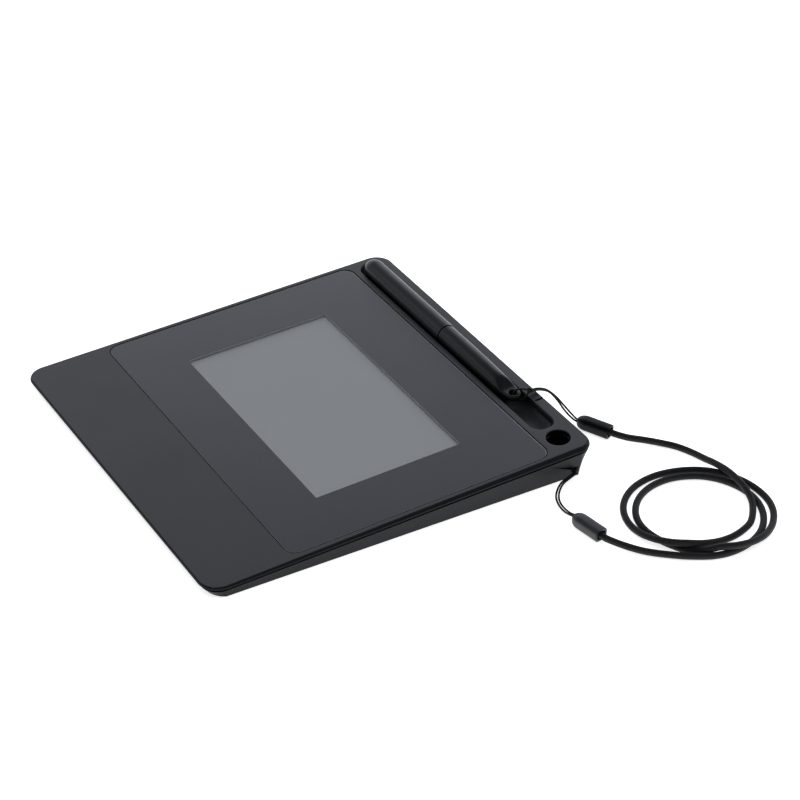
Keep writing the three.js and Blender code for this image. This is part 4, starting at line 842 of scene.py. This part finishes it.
# Bottom cover: leaning walls, level underside, wells for feet and screws, tether slot
tub = {
    "rounding": 0.22, "rimRounding": 0.12, "leastDepth": 0.25, "deeper": 0.18,
    "groove": (0.25, 1.2, 0.6), "pocket": 2, "slotHalf": 1.1, "mouthLength": 6,
    "block": 3.2, "blockFoot": -13, "blockTop": -6.1, "pinHole": (0.85, 2.15), "pin": (0.6, 2.1),
    "crease": {"front": 64.2, "rise": 6.5, "depth": 1.4, "half": 0.75},
    "usb": (-35, 80.588, -7.85), "usbWindow": (12.1, 3.1), "usbSize": (8.9, 2.5, 8),
    "footAt": (60, 66), "footWell": (6.3, 0.85), "headWell": 2.4, "headDepth": 1.2,
    "padRadius": 3.8, "screwHoleTop": -1.5,
    "postAt": ((-58.9, 43.1), (30.9, 43.1), (-58.9, 59.4), (30.9, 59.4)), "postRadius": 2.2,
    "postTop": -7.85, "postHole": (1.1, -9.1, -7),
    "below": -16, "toolSteps": 24,   # tools start under everything; small holes need few steps
}


def leanAt(out, height):
    # how far the wall has leaned in at that height below the rim
    side = abs(out.x) * case["sideDraft"]
    end = abs(out.y) * (case["backDraft"] if out.y > 0 else case["frontDraft"])
    return (side + end) * height


def tubRings(offset, lift, steps, top):
    # from the underside's soft edge up the leaning wall to the rim, or on to a tool's flat top
    def floorAt(y):
        # kept under the rim at the front, where the tub is at its lowest
        return min(undersideAt(y) - tub["deeper"] + lift, rimAt(y) - tub["leastDepth"])

    def softAt(y):
        return min(tub["rounding"], 0.6 * (rimAt(y) - floorAt(y)))

    rings = []
    for angle in quarter(steps)[::-1]:
        up, inward = 1 - math.sin(angle), 1 - math.cos(angle)
        rings.append(rimRing(
            lambda y: floorAt(y) + softAt(y) * up,
            lambda y, out: min(min(case["tubCorner"]) - 0.1, offset + softAt(y) * inward
                               + leanAt(out, rimAt(y) - floorAt(y) - softAt(y) * up))))
    if top:
        return rings + [rimRing(rimAt, offset), rimRing(top, offset)]
    soft = tub["rimRounding"]
    return rings + [
        rimRing(lambda y: rimAt(y) - soft, lambda y, out: offset + leanAt(out, soft)),
        rimRing(lambda y: rimAt(y) - soft * 0.3, offset + soft * 0.3), rimRing(rimAt, offset + soft)]


def closedTub(name, offset, lift, steps, top=None):
    shell = Shell()
    made = shell.rings(tubRings(offset, lift, steps, top))
    shell.fill(made[0])
    shell.fill(made[-1])
    return fromShell(name, shell)


def grooveTool(offset):
    # a groove round the rim's top, so that the seam under the lip looks into the dark
    outer, inner, depth = tub["groove"]
    groove = Shell()
    made = groove.rings([
        rimRing(lambda y: rimAt(y) - depth, lambda y, out: offset + outer + leanAt(out, depth)),
        rimRing(1, offset + outer), rimRing(1, offset + inner),
        rimRing(lambda y: rimAt(y) - depth, offset + inner)])
    groove.band(made[-1], made[0])
    return fromShell("grooveTool", groove)


def post(name, x, y, radius, bottom, top, steps=40, place=caseToTable):
    rings = [circleRing(x, y, radius, z, steps) for z in (bottom, top)]
    return fromShell(name, Shell().solid(rings, (x, y, bottom), (x, y, top)), None, place)


def creaseTool():
    # it reaches 3 mm outside the wall, is deepest at the tether slot and 0.12 mm deep at its front end
    _, y, z = tetherPin
    crease, half = tub["crease"], tub["crease"]["half"]

    def wallAt(height):
        return case["width"] / 2 - case["seamStep"] - case["sideDraft"] * (rimAt(y) - height)

    front, frontZ = crease["front"], z + crease["rise"]
    inner, outer = wallAt(z) - crease["depth"], wallAt(z) + 3
    shell = Shell()
    shell.ring([
        (wallAt(frontZ) - 0.12, front, frontZ), (wallAt(frontZ) + 3, front, frontZ + 0.1),
        (inner, y, z - half), (inner, y, z + half),
        (outer, y, z + half + 0.3), (outer, y, z - half - 0.3)])
    shell.faces = [(0, 1, 5), (0, 5, 2), (0, 3, 1), (1, 3, 4),
                   (0, 2, 3), (1, 4, 5), (2, 5, 4), (2, 4, 3)]
    return fromShell("creaseTool", shell)


usbX, usbBack, usbTop = tub["usb"]
usbWide, usbHigh, usbLong = tub["usbSize"]
# the inlet and its window are drawn along Z: 0 at the back wall, negative into the case
inletPlace = caseToTable @ (Matrix.Translation((usbX, usbBack, usbTop - usbHigh / 2))
                            @ Matrix.Rotation(-math.pi / 2, 4, "X"))


def makeBottomCover():
    x, y, z = tetherPin
    offset, below, steps = case["seamStep"], tub["below"], tub["toolSteps"]
    body = closedTub("bottom_cover_shell", offset, 0, 6)
    limit = closedTub("limitTool", offset + 0.4, 0.3, 2)
    block = post("postTool", x, y, tub["block"], tub["blockFoot"], tub["blockTop"])
    posts = [post("postTool", px, py, tub["padRadius"], undersideAt(py) + 0.1,
                  undersideAt(py) + cover["webAbove"]) for px, py in screwAt]
    posts += [post("postTool", px, py, tub["postRadius"], undersideAt(py) + 0.1, tub["postTop"])
              for px, py in tub["postAt"]]
    hollow = closedTub("hollowTool", offset + case["wall"], case["floor"], 3, 1)
    body = carve(body, [hollow, grooveTool(offset)])
    block = carve(carve(block, posts, "UNION"), [limit], "INTERSECT")
    body = carve(body, [block], "UNION")
    tools = []
    for px, py in screwAt:
        head = undersideAt(py) + cover["webAbove"] - tub["headDepth"]
        tools.append(post("holeTool", px, py, tub["headWell"], below, head))
        tools.append(post("holeTool", px, py, cover["threadRadius"], head - 1, tub["screwHoleTop"],
                          steps))
    tools += [post("holeTool", px, py, *tub["postHole"], steps) for px, py in tub["postAt"]]
    footX, footY = tub["footAt"]
    wellRadius, wellTop = tub["footWell"]
    tools += [post("holeTool", px, py, wellRadius, -1, wellTop, place=tablePlace)
              for px in (-footX, footX) for py in (-footY, footY)]
    # cable window: a rounded slot through the back wall
    wide, high = tub["usbWindow"]
    slot = Shell()
    ends = slot.rings([roundedRing(wide, high, high / 2 - 0.3, along, 0, (0, 0), 6)
                       for along in (-usbLong, 4)])
    slot.fill(ends[0])
    slot.fill(ends[1])
    tools.append(fromShell("windowTool", slot, None, inletPlace))
    pocket, low, high = tub["pocket"], z - tub["slotHalf"], z + tub["slotHalf"]
    mouth = boxShell(x, x + tub["mouthLength"], y - pocket, y + pocket / 2, low, high, 0.3)
    radius, reach = tub["pinHole"]
    tools += [post("pocketTool", x, y, pocket, low, high), fromShell("mouthTool", mouth),
              post("pinTool", x, y, radius, z - reach, z + reach, steps), creaseTool()]
    body = carve(body, tools)
    # the darker, duller ABS copy: partly the lower moulding's own tone, partly painted shade on its
    # walls
    paint(body, "tub")
    return body


bottomCover = makeBottomCover()
pinX, pinY, pinZ = tetherPin
pinRadius, pinReach = tub["pin"]
tetherPost = post("tether_post", pinX, pinY, pinRadius, pinZ - pinReach, pinZ + pinReach,
                  tub["toolSteps"])
paint(tetherPost, "steel")
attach(tetherPost, "pad")
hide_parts("tether_pin")
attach(bottomCover, "pad")
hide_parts("bottom_cover")
print("bottom cover made")

# Cover glass: polished edge, printed border, clear window over the display
glassLook = {"bevel": (0.1, 0.36), "chamferDrop": 0.12, "shift": (0.1, -0.1)}


def makeGlass():
    # the pane lies a hair to the front right in its pocket; its polished bevel is wide at the back
    top = case["glassRise"]
    low = top - case["glassThick"]
    width, depth, corner = case["glass"]
    shiftX, shiftY = glassLook["shift"]
    windowWide, windowDeep = case["display"]
    chamfer = top - glassLook["chamferDrop"]

    def bevelAt(out):
        narrow, wide = glassLook["bevel"]
        return narrow + (wide - narrow) * max(out.y, 0) ** 2

    def paneRing(share, height):
        # share: how far in over the bevel, 0 at the pane's edge
        return roundedRing(width, depth, corner, height, lambda y, out: bevelAt(out) * share,
                           (case["glassX"] + shiftX, case["glassY"] + shiftY))

    windowRings = [roundedRing(windowWide, windowDeep, 0.25, z, 0, (0, case["displayY"]), 2)
                   for z in (low, top)]
    border = Shell()
    made = border.rings([
        paneRing(0.5, low), paneRing(0, low + 0.05), paneRing(0, chamfer - 0.03),
        paneRing(0.05, chamfer), paneRing(0.9, top - glassLook["chamferDrop"] * 0.1),
        paneRing(1, top)])
    inner = border.rings(windowRings)
    border.fill(made[0], inner[0])
    border.fill(made[-1], inner[1])
    window = Shell()
    for sheet in window.rings(windowRings):
        window.fill(sheet)
    pane = fromShell("cover_glass_border", border, "ink")
    # the border's inner walls round the window are painted in the panel's grey: painted light standing
    # in for the panel seen through the glass's edge, where they would lie in shade
    paint(pane, "ink", "panel", "bevelHighlight")
    for face in pane.data.polygons:
        x, y, z = metresToCase @ face.center
        up = (tableToCase.to_3x3() @ face.normal).z
        beyond = max(abs(x) - windowWide / 2, abs(y - case["displayY"]) - windowDeep / 2)
        # the bevel's faces take the light grey: a painted highlight
        onChamfer = z > chamfer - 0.01 and up < 0.999
        face.material_index = 1 if beyond < 0.05 and abs(up) < 0.5 else 2 if onChamfer else 0
    return pane, fromShell("cover_glass_window", window, "glass")


glassBorder, glassWindow = makeGlass()
for piece in (glassBorder, glassWindow):
    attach(piece, "pad")
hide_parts("cover_glass")
print("glass made")

# Pen: a front barrel with its nose, a slimmer rear barrel with a flat tail and eyelet, a nib
pen = {
    "axis": (0, 75, 0.7), "radius": 4.6, "nose": -75.9, "noseLength": 5.2, "noseFlat": 1.5,
    "nibHole": 1.1, "bore": 3.7, "spigot": 3.45, "seam": -12.5, "step": 0.25, "edge": 0.25,
    "eyelet": 38.3, "eyeletRadius": 3.2, "flat": 1.3, "hole": 1.7, "scoop": (26.1, 35.1),
    "taper": ((0, 4.35), (0.3, 4.33), (0.55, 4.21), (0.75, 3.92), (0.9, 3.54), (0.942, 3.38)),
    "spigotLength": 9, "nib": 0.8, "nibTip": -76.7, "nibLength": 26,
    "sides": 96, "closed": 0.02, "ringsAt": (-60, -45, -30, -16),
}
penPlace = caseToTable @ Matrix.Translation(pen["axis"])


def makePenFront():
    radius, edge, nose, flat = pen["radius"], pen["edge"], pen["nose"], pen["noseFlat"]
    noseEnd = nose + pen["noseLength"]
    profile = [(nose + 0.15, pen["nibHole"]), (nose, pen["nibHole"] + 0.12), (nose, flat - 0.1)]
    profile += [(nose + pen["noseLength"] * (1 - math.cos(angle)),
                 flat + (radius - flat) * math.sin(angle)) for angle in quarter(18)[1:]]
    profile += [(x, radius) for x in pen["ringsAt"]]
    profile += arc(pen["seam"] - edge, radius - edge, edge, 90, 0, 5)
    profile += [(pen["seam"], pen["bore"]), (noseEnd, pen["bore"]),
                (nose + pen["noseLength"] / 2, pen["nibHole"]), profile[0]]
    return fromShell("pen_grip", turnedShell(profile, pen["sides"]), "pen", penPlace)


def flattened(along, radius):
    # the rear barrel's ring at that place: its two flats come in over the scoop towards the tail
    low, high = pen["scoop"]
    share = min(max((along - low) / (high - low), 0), 1)
    share = 0.5 * share + 0.5 * share * share * (3 - 2 * share)
    flat = pen["radius"] + (pen["flat"] - pen["radius"]) * share
    ring = []
    for k in range(pen["sides"]):
        angle = 2 * math.pi * k / pen["sides"]
        reach = radius
        if share > 0:
            upright = max(abs(math.sin(angle)), 1e-6)
            reach = (radius ** -14 + (flat / upright) ** -14) ** (-1 / 14)
        ring.append((along, reach * math.cos(angle), reach * math.sin(angle)))
    return ring


def makePenRear():
    start, edge = pen["seam"] + pen["step"], pen["edge"]
    tail, tailRadius = pen["eyelet"], pen["eyeletRadius"]
    length = tail + tailRadius - start
    knots = [Vector((start + length * share, radius, 0)) for share, radius in pen["taper"]]
    barrel, _ = smoothRoute(knots, 0.9)
    spigot = pen["seam"] - pen["spigotLength"]
    stations = [(spigot, pen["closed"]), (spigot, pen["spigot"]), (start, pen["spigot"]),
                (start, barrel[0].y - edge)]
    stations += arc(start + edge, barrel[0].y - edge, edge, 180, 90, 5)
    stations += [(p.x, p.y) for p in barrel[1:-1]]
    first, steps = math.asin(min(1, (barrel[-1].x - tail) / tailRadius)), 19
    for step in range(1, steps + 1):
        angle = first + (math.pi / 2 - first) * step / steps
        stations.append((tail + tailRadius * math.sin(angle),
                         max(tailRadius * math.cos(angle), pen["closed"])))
    shell = Shell().solid([flattened(*station) for station in stations], (stations[0][0], 0, 0),
                          (stations[-1][0], 0, 0))
    piece = fromShell("pen_barrel", shell, "pen", penPlace)
    flat, hole = pen["flat"], pen["hole"]
    half = [(4, hole + 0.6), (flat + 0.02, hole + 0.42), (flat - 0.18, hole + 0.12),
            (flat - 0.45, hole)]
    rings = [circleRing(tail, 0, radius, -z) for z, radius in half]
    rings += [circleRing(tail, 0, radius, z) for z, radius in half[::-1]]
    tool = Shell().solid(rings, (tail, 0, -4), (tail, 0, 4))
    return carve(piece, [fromShell("eyeletTool", tool, None, penPlace)])


def makeNib():
    radius, tip = pen["nib"], pen["nibTip"]
    end = tip + pen["nibLength"]
    profile = [(tip, 0)] + arc(tip + 0.7, 0.1, 0.7, 170, 90, 6)
    profile += [(tip + 3, radius), (end, radius), (end, 0)]
    return fromShell("pen_tip", turnedShell(profile, 32), "nib", penPlace)


penGrip = makePenFront()
penBarrel = makePenRear()
penTipPiece = makeNib()
for piece, body, node, slot in (
        (penGrip, "pen", "pen_front_barrel", "pen_plastic"),
        (penBarrel, "pen", "pen_rear_barrel", "pen_plastic"),
        (penTipPiece, "nib", "pen_nib", "nib_plastic")):
    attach(piece, body)
    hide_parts(node)
print("pen made")

# Cup under the pen-stand hole
cup = {"bore": 4.95, "wall": 0.7, "top": -2.15, "bottom": -10.71, "floor": 0.8, "soft": 0.8}


def makeCup():
    x, y = case["standX"], case["troughY"]
    bore, soft, top, bottom = cup["bore"], cup["soft"], cup["top"], cup["bottom"]
    outer, inside = bore + cup["wall"], bottom + cup["floor"]
    profile = [(0.2, bottom), (outer - soft, bottom)]
    profile += arc(outer - soft, bottom + soft, soft, -90, 0, 5)[1:]
    profile += [(outer, top - 0.1), (outer - 0.1, top), (bore + 0.1, top), (bore, top - 0.1)]
    profile += arc(bore - soft, inside + soft, soft, 0, -90, 5) + [(0.2, inside)]
    rings = [circleRing(x, y, radius, z) for radius, z in profile]
    # the cup takes the same near-black finish that paints the hole's shade
    return fromShell("pen_stand_well", Shell().solid(rings, (x, y, bottom), (x, y, inside)), "stand")


standWell = makeCup()
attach(standWell, "pad")
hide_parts("pen_stand_cup")


# Repeated pieces: one Geometry Nodes group sets a template out on a grid
def gridGroup():
    group = bpy.data.node_groups.new("setOutOnGrid", "GeometryNodeTree")
    for name, kind in (
            ("Template", "Object"), ("Columns", "Int"), ("Rows", "Int"), ("Width", "Float"),
            ("Depth", "Float"), ("Middle", "Vector"), ("Turn", "Vector"), ("Finish", "Material")):
        group.interface.new_socket(name=name, in_out="INPUT", socket_type="NodeSocket" + kind)
    group.interface.new_socket(name="Geometry", in_out="OUTPUT", socket_type="NodeSocketGeometry")
    given, grid, turned, template, spread, real, painted, out = [group.nodes.new(kind) for kind in (
        "NodeGroupInput", "GeometryNodeMeshGrid", "GeometryNodeTransform", "GeometryNodeObjectInfo",
        "GeometryNodeInstanceOnPoints", "GeometryNodeRealizeInstances", "GeometryNodeSetMaterial",
        "NodeGroupOutput")]
    for source, output, target, socket in (
            (given, "Width", grid, "Size X"), (given, "Depth", grid, "Size Y"),
            (given, "Columns", grid, "Vertices X"), (given, "Rows", grid, "Vertices Y"),
            (grid, "Mesh", spread, "Points"), (given, "Template", template, "Object"),
            (template, "Geometry", spread, "Instance"), (spread, "Instances", turned, "Geometry"),
            (given, "Middle", turned, "Translation"), (given, "Turn", turned, "Rotation"),
            (turned, "Geometry", real, "Geometry"), (real, "Geometry", painted, "Geometry"),
            (given, "Finish", painted, "Material"), (painted, "Geometry", out, "Geometry")):
        group.links.new(source.outputs[output], target.inputs[socket])
    return group


gridNodes = gridGroup()


def setOut(name, template, finish, values):
    # values: the group's inputs by name; the result is a plain mesh and the template goes
    holder = bpy.data.objects.new(name, bpy.data.meshes.new(name))
    scene.collection.objects.link(holder)
    step = holder.modifiers.new("setOutOnGrid", "NODES")
    step.node_group = gridNodes
    values = {"Template": template, "Finish": finishes[finish], **values}
    for socket in gridNodes.interface.items_tree:
        if socket.in_out == "INPUT":
            step[socket.identifier] = values[socket.name]
    holder.update_tag()
    settle(holder)
    bpy.data.objects.remove(template)
    return smoothed(holder)


foot = {"radius": 6, "height": 0.65, "edge": 0.35, "dimple": 3.2}


def footTemplate():
    radius, height, edge, dimple = foot["radius"], foot["height"], foot["edge"], foot["dimple"]
    profile = [(0.1, 0.15), (dimple - 0.4, 0.12), (dimple, 0)]
    profile += arc(radius - edge, edge, edge, -90, 0, 5)
    profile += [(radius, height - 0.1), (radius - 0.1, height)]
    rings = [circleRing(0, 0, out, z, 64) for out, z in profile]
    shell = Shell().solid(rings, (0, 0, 0.15), (0, 0, height))
    return fromShell("footTemplate", shell, None, tablePlace)


feet = setOut("rubber_feet", footTemplate(), "rubber", {
    "Columns": 2, "Rows": 2, "Width": 2 * tub["footAt"][0] * 0.001,
    "Depth": 2 * tub["footAt"][1] * 0.001, "Middle": (0, 0, 0), "Turn": (0, 0, 0)})
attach(feet, "pad")
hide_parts("foot_front_left", "foot_front_right", "foot_back_left", "foot_back_right")

screw = {"head": 2.1, "headHeight": 1.2, "shank": 0.9, "drive": 0.65, "driveDepth": 0.6,
         "length": 4.95, "sunk": 0.5, "pitch": 0.4, "ridge": 0.14}


def screwTemplate():
    # a flat head with a softened rim and a hexagonal drive, pointing up; ridges stand for the thread
    shell = Shell()
    head, shank, seat, length = screw["head"], screw["shank"], screw["headHeight"], screw["length"]
    profile = [(head - 0.25, 0), (head - 0.08, 0.07), (head, 0.25), (head, seat - 0.1),
               (head - 0.1, seat), (shank, seat)]
    pitch, root = screw["pitch"], shank - screw["ridge"]
    along = seat + pitch
    while along < length - 0.5:
        profile += [(shank, along), (root, along + 0.16), (root, along + 0.24)]
        along += pitch
    profile += [(shank, along), (shank - 0.4, length)]
    made = shell.rings([circleRing(0, 0, radius, z, 48) for radius, z in profile])
    drive, driveDepth = screw["drive"], screw["driveDepth"]
    hexagon = shell.rings([circleRing(0, 0, radius, z, 6) for radius, z in (
        (drive + 0.08, 0), (drive, 0.08), (drive, driveDepth))])
    shell.fill(made[0], hexagon[0])
    shell.fan(hexagon[-1], (0, 0, driveDepth + 0.2))
    shell.fan(made[-1], (0, 0, length))
    return fromShell("screwTemplate", shell, None, Matrix.Rotation(tilt, 4, "X"))


screwFace = [caseToTable @ Vector((0, y, undersideAt(y) + screw["sunk"])) for y in cover["screwY"]]
screwMiddle = (screwFace[0] + screwFace[1]) / 2
screws = setOut("housing_screws", screwTemplate(), "blackSteel", {
    "Columns": 2, "Rows": 2, "Width": 2 * cover["screwX"] * 0.001,
    "Depth": (screwFace[1] - screwFace[0]).length * 0.001,
    "Middle": tuple(screwMiddle * 0.001), "Turn": (0, 0, 0)})
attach(screws, "pad")
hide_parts("housing_screw_1", "housing_screw_2", "housing_screw_3", "housing_screw_4")

# Cable inlet: a drawn steel shell with rounded sides, a tongue and its contacts
inlet = {"shell": 0.35, "round": 1.0, "back": 0.7, "tongue": (4.45, 5.9, 0.7), "contacts": 5,
         "pitch": 0.8, "contact": (0.35, 4.6, 0.06)}
usbFloor = inlet["back"] - usbLong


def makeInlet():
    shell = Shell()
    wall, corner = inlet["shell"], inlet["round"]

    def ring(along, inset):
        return roundedRing(usbWide - 2 * inset, usbHigh - 2 * inset, max(corner - inset, 0.3),
                           along, 0, (0, 0), 8)

    made = shell.rings([ring(along, inset) for along, inset in (
        (-usbLong, 0.1), (-usbLong + 0.1, 0), (-0.1, 0), (0, 0.1), (0, wall - 0.1), (-0.1, wall),
        (usbFloor, wall))])
    shell.fill(made[0])
    wide, long, high = inlet["tongue"]
    tongue = shell.rings([
        roundedRing(wide - less, high - less, 0.1, along, 0, (0, 0), 3) for along, less in (
            (usbFloor, 0), (usbFloor + long - 0.15, 0), (usbFloor + long, 0.3))])
    shell.fill(made[-1], tongue[0])
    shell.fill(tongue[-1])
    return fromShell("cable_inlet", shell, "steel", inletPlace)


cableInlet = makeInlet()
wide, long, high = inlet["contact"]
contactShell = boxShell(-wide / 2, wide / 2, -high / 2, high / 2, -long / 2, long / 2, 0.02)
contact = fromShell("contactTemplate", contactShell, None, tablePlace)
contacts = setOut("inlet_contacts", contact, "gold", {
    "Columns": inlet["contacts"], "Rows": 2,
    "Width": (inlet["contacts"] - 1) * inlet["pitch"] * 0.001,
    "Depth": (inlet["tongue"][2] + high) * 0.001,
    "Middle": tuple(inletPlace @ Vector((0, 0, usbFloor + long / 2 + 0.6)) * 0.001),
    "Turn": tuple(inletPlace.to_3x3().to_euler())})
for piece, nodes in ((cableInlet, ["usb_receptacle"]), (contacts, [])):
    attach(piece, "pad")
    if nodes:
        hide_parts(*nodes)
print("small parts made")

# CAD pieces that stay as they are get their finish
innerFinish = {
    "foam": ("glass_tape",), "panel": ("lcd_cell",), "film": ("display_ribbon",),
    "ferrite": ("pen_coil",), "silicone": ("pressure_pad",),
    "board": ("sensor_board", "main_board", "pen_board"),
    "resin": ("main_chip", "memory_chip", "ribbon_socket"),
    "steel": ("backlight_unit", "shield_plate", "crystal_can", "pressure_cell", "board_screw_1",
              "board_screw_2", "board_screw_3", "board_screw_4"),
}
for finish, names in innerFinish.items():
    for name in names:
        paint(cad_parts[name], finish)

# Floor and light: pale paper under a wash from above, and a bright sweep low behind the part
studio = {
    "floor": "#f7f7f7", "floorSize": 40, "glow": 0.8,
    # the sky's brightness by the sine of its height, and how much of it is left away from the sweep
    "sky": ((0.0, 1.0), (0.2, 1.0), (0.44, 1.6), (0.5, 1.45), (0.55, 0.92), (0.61, 0.6), (0.7, 0.16),
            (1.0, 0.05)),
    "skyTint": (0.95, 0.98, 1.06),
    "sweepWay": (-0.72, 0.69, 0.0), "sweepRest": 0.25, "sweepFrom": -0.3, "sweepFull": 0.7,
    "washHeight": 2.6, "washSize": 3.2, "washPower": 55,
}
floorShell = Shell()
half = studio["floorSize"] * 500
floorShell.ring([(-half, -half, 0), (half, -half, 0), (half, half, 0), (-half, half, 0)])
floorShell.faces = [(0, 1, 2, 3)]
finishes["paper"] = startMaterial("paleStudioPaper", {
    "Base Color": linear(studio["floor"]), "Roughness": 0.9, "Specular IOR Level": 0.1,
    "Emission Color": linear(studio["floor"]), "Emission Strength": studio["glow"]})[0]
floor = fromShell("studio_floor", floorShell, "paper", Matrix.Translation((0, 0, -0.02)))


def makeSky():
    world = bpy.data.worlds.new("sweepSky")
    scene.world = world
    world.use_nodes = True
    back = world.node_tree.nodes["Background"]
    way = addNode(world, "ShaderNodeTexCoord").outputs["Generated"]
    height = addNode(world, "ShaderNodeSeparateXYZ", None, {"Vector": way}).outputs["Z"]
    ramp = addNode(world, "ShaderNodeValToRGB", None, {"Fac": height})
    stops = ramp.color_ramp.elements
    while len(stops) < len(studio["sky"]):
        stops.new(0.5)
    for stop, (at, light) in zip(stops, studio["sky"]):
        stop.position = at
        stop.color = [light * tint for tint in studio["skyTint"]] + [1]
    toSweep = addNode(world, "ShaderNodeVectorMath", {"operation": "DOT_PRODUCT"},
                      {0: way, 1: studio["sweepWay"]})
    share = addNode(world, "ShaderNodeMapRange", {"interpolation_type": "SMOOTHSTEP"}, {
        "Value": toSweep.outputs["Value"], "From Min": studio["sweepFrom"],
        "From Max": studio["sweepFull"], "To Min": studio["sweepRest"], "To Max": 1})
    link(world, ramp.outputs["Color"], back.inputs["Color"])
    link(world, share.outputs["Result"], back.inputs["Strength"])


def makeWash():
    # lights the floor and every matt surface evenly; it leaves no mirror image of itself
    data = bpy.data.lights.new("floorWash", "AREA")
    data.size = studio["washSize"]
    data.energy = studio["washPower"]
    wash = bpy.data.objects.new("floorWash", data)
    wash.location = (0, 0, studio["washHeight"])
    wash.visible_glossy = False
    scene.collection.objects.link(wash)


makeSky()
makeWash()
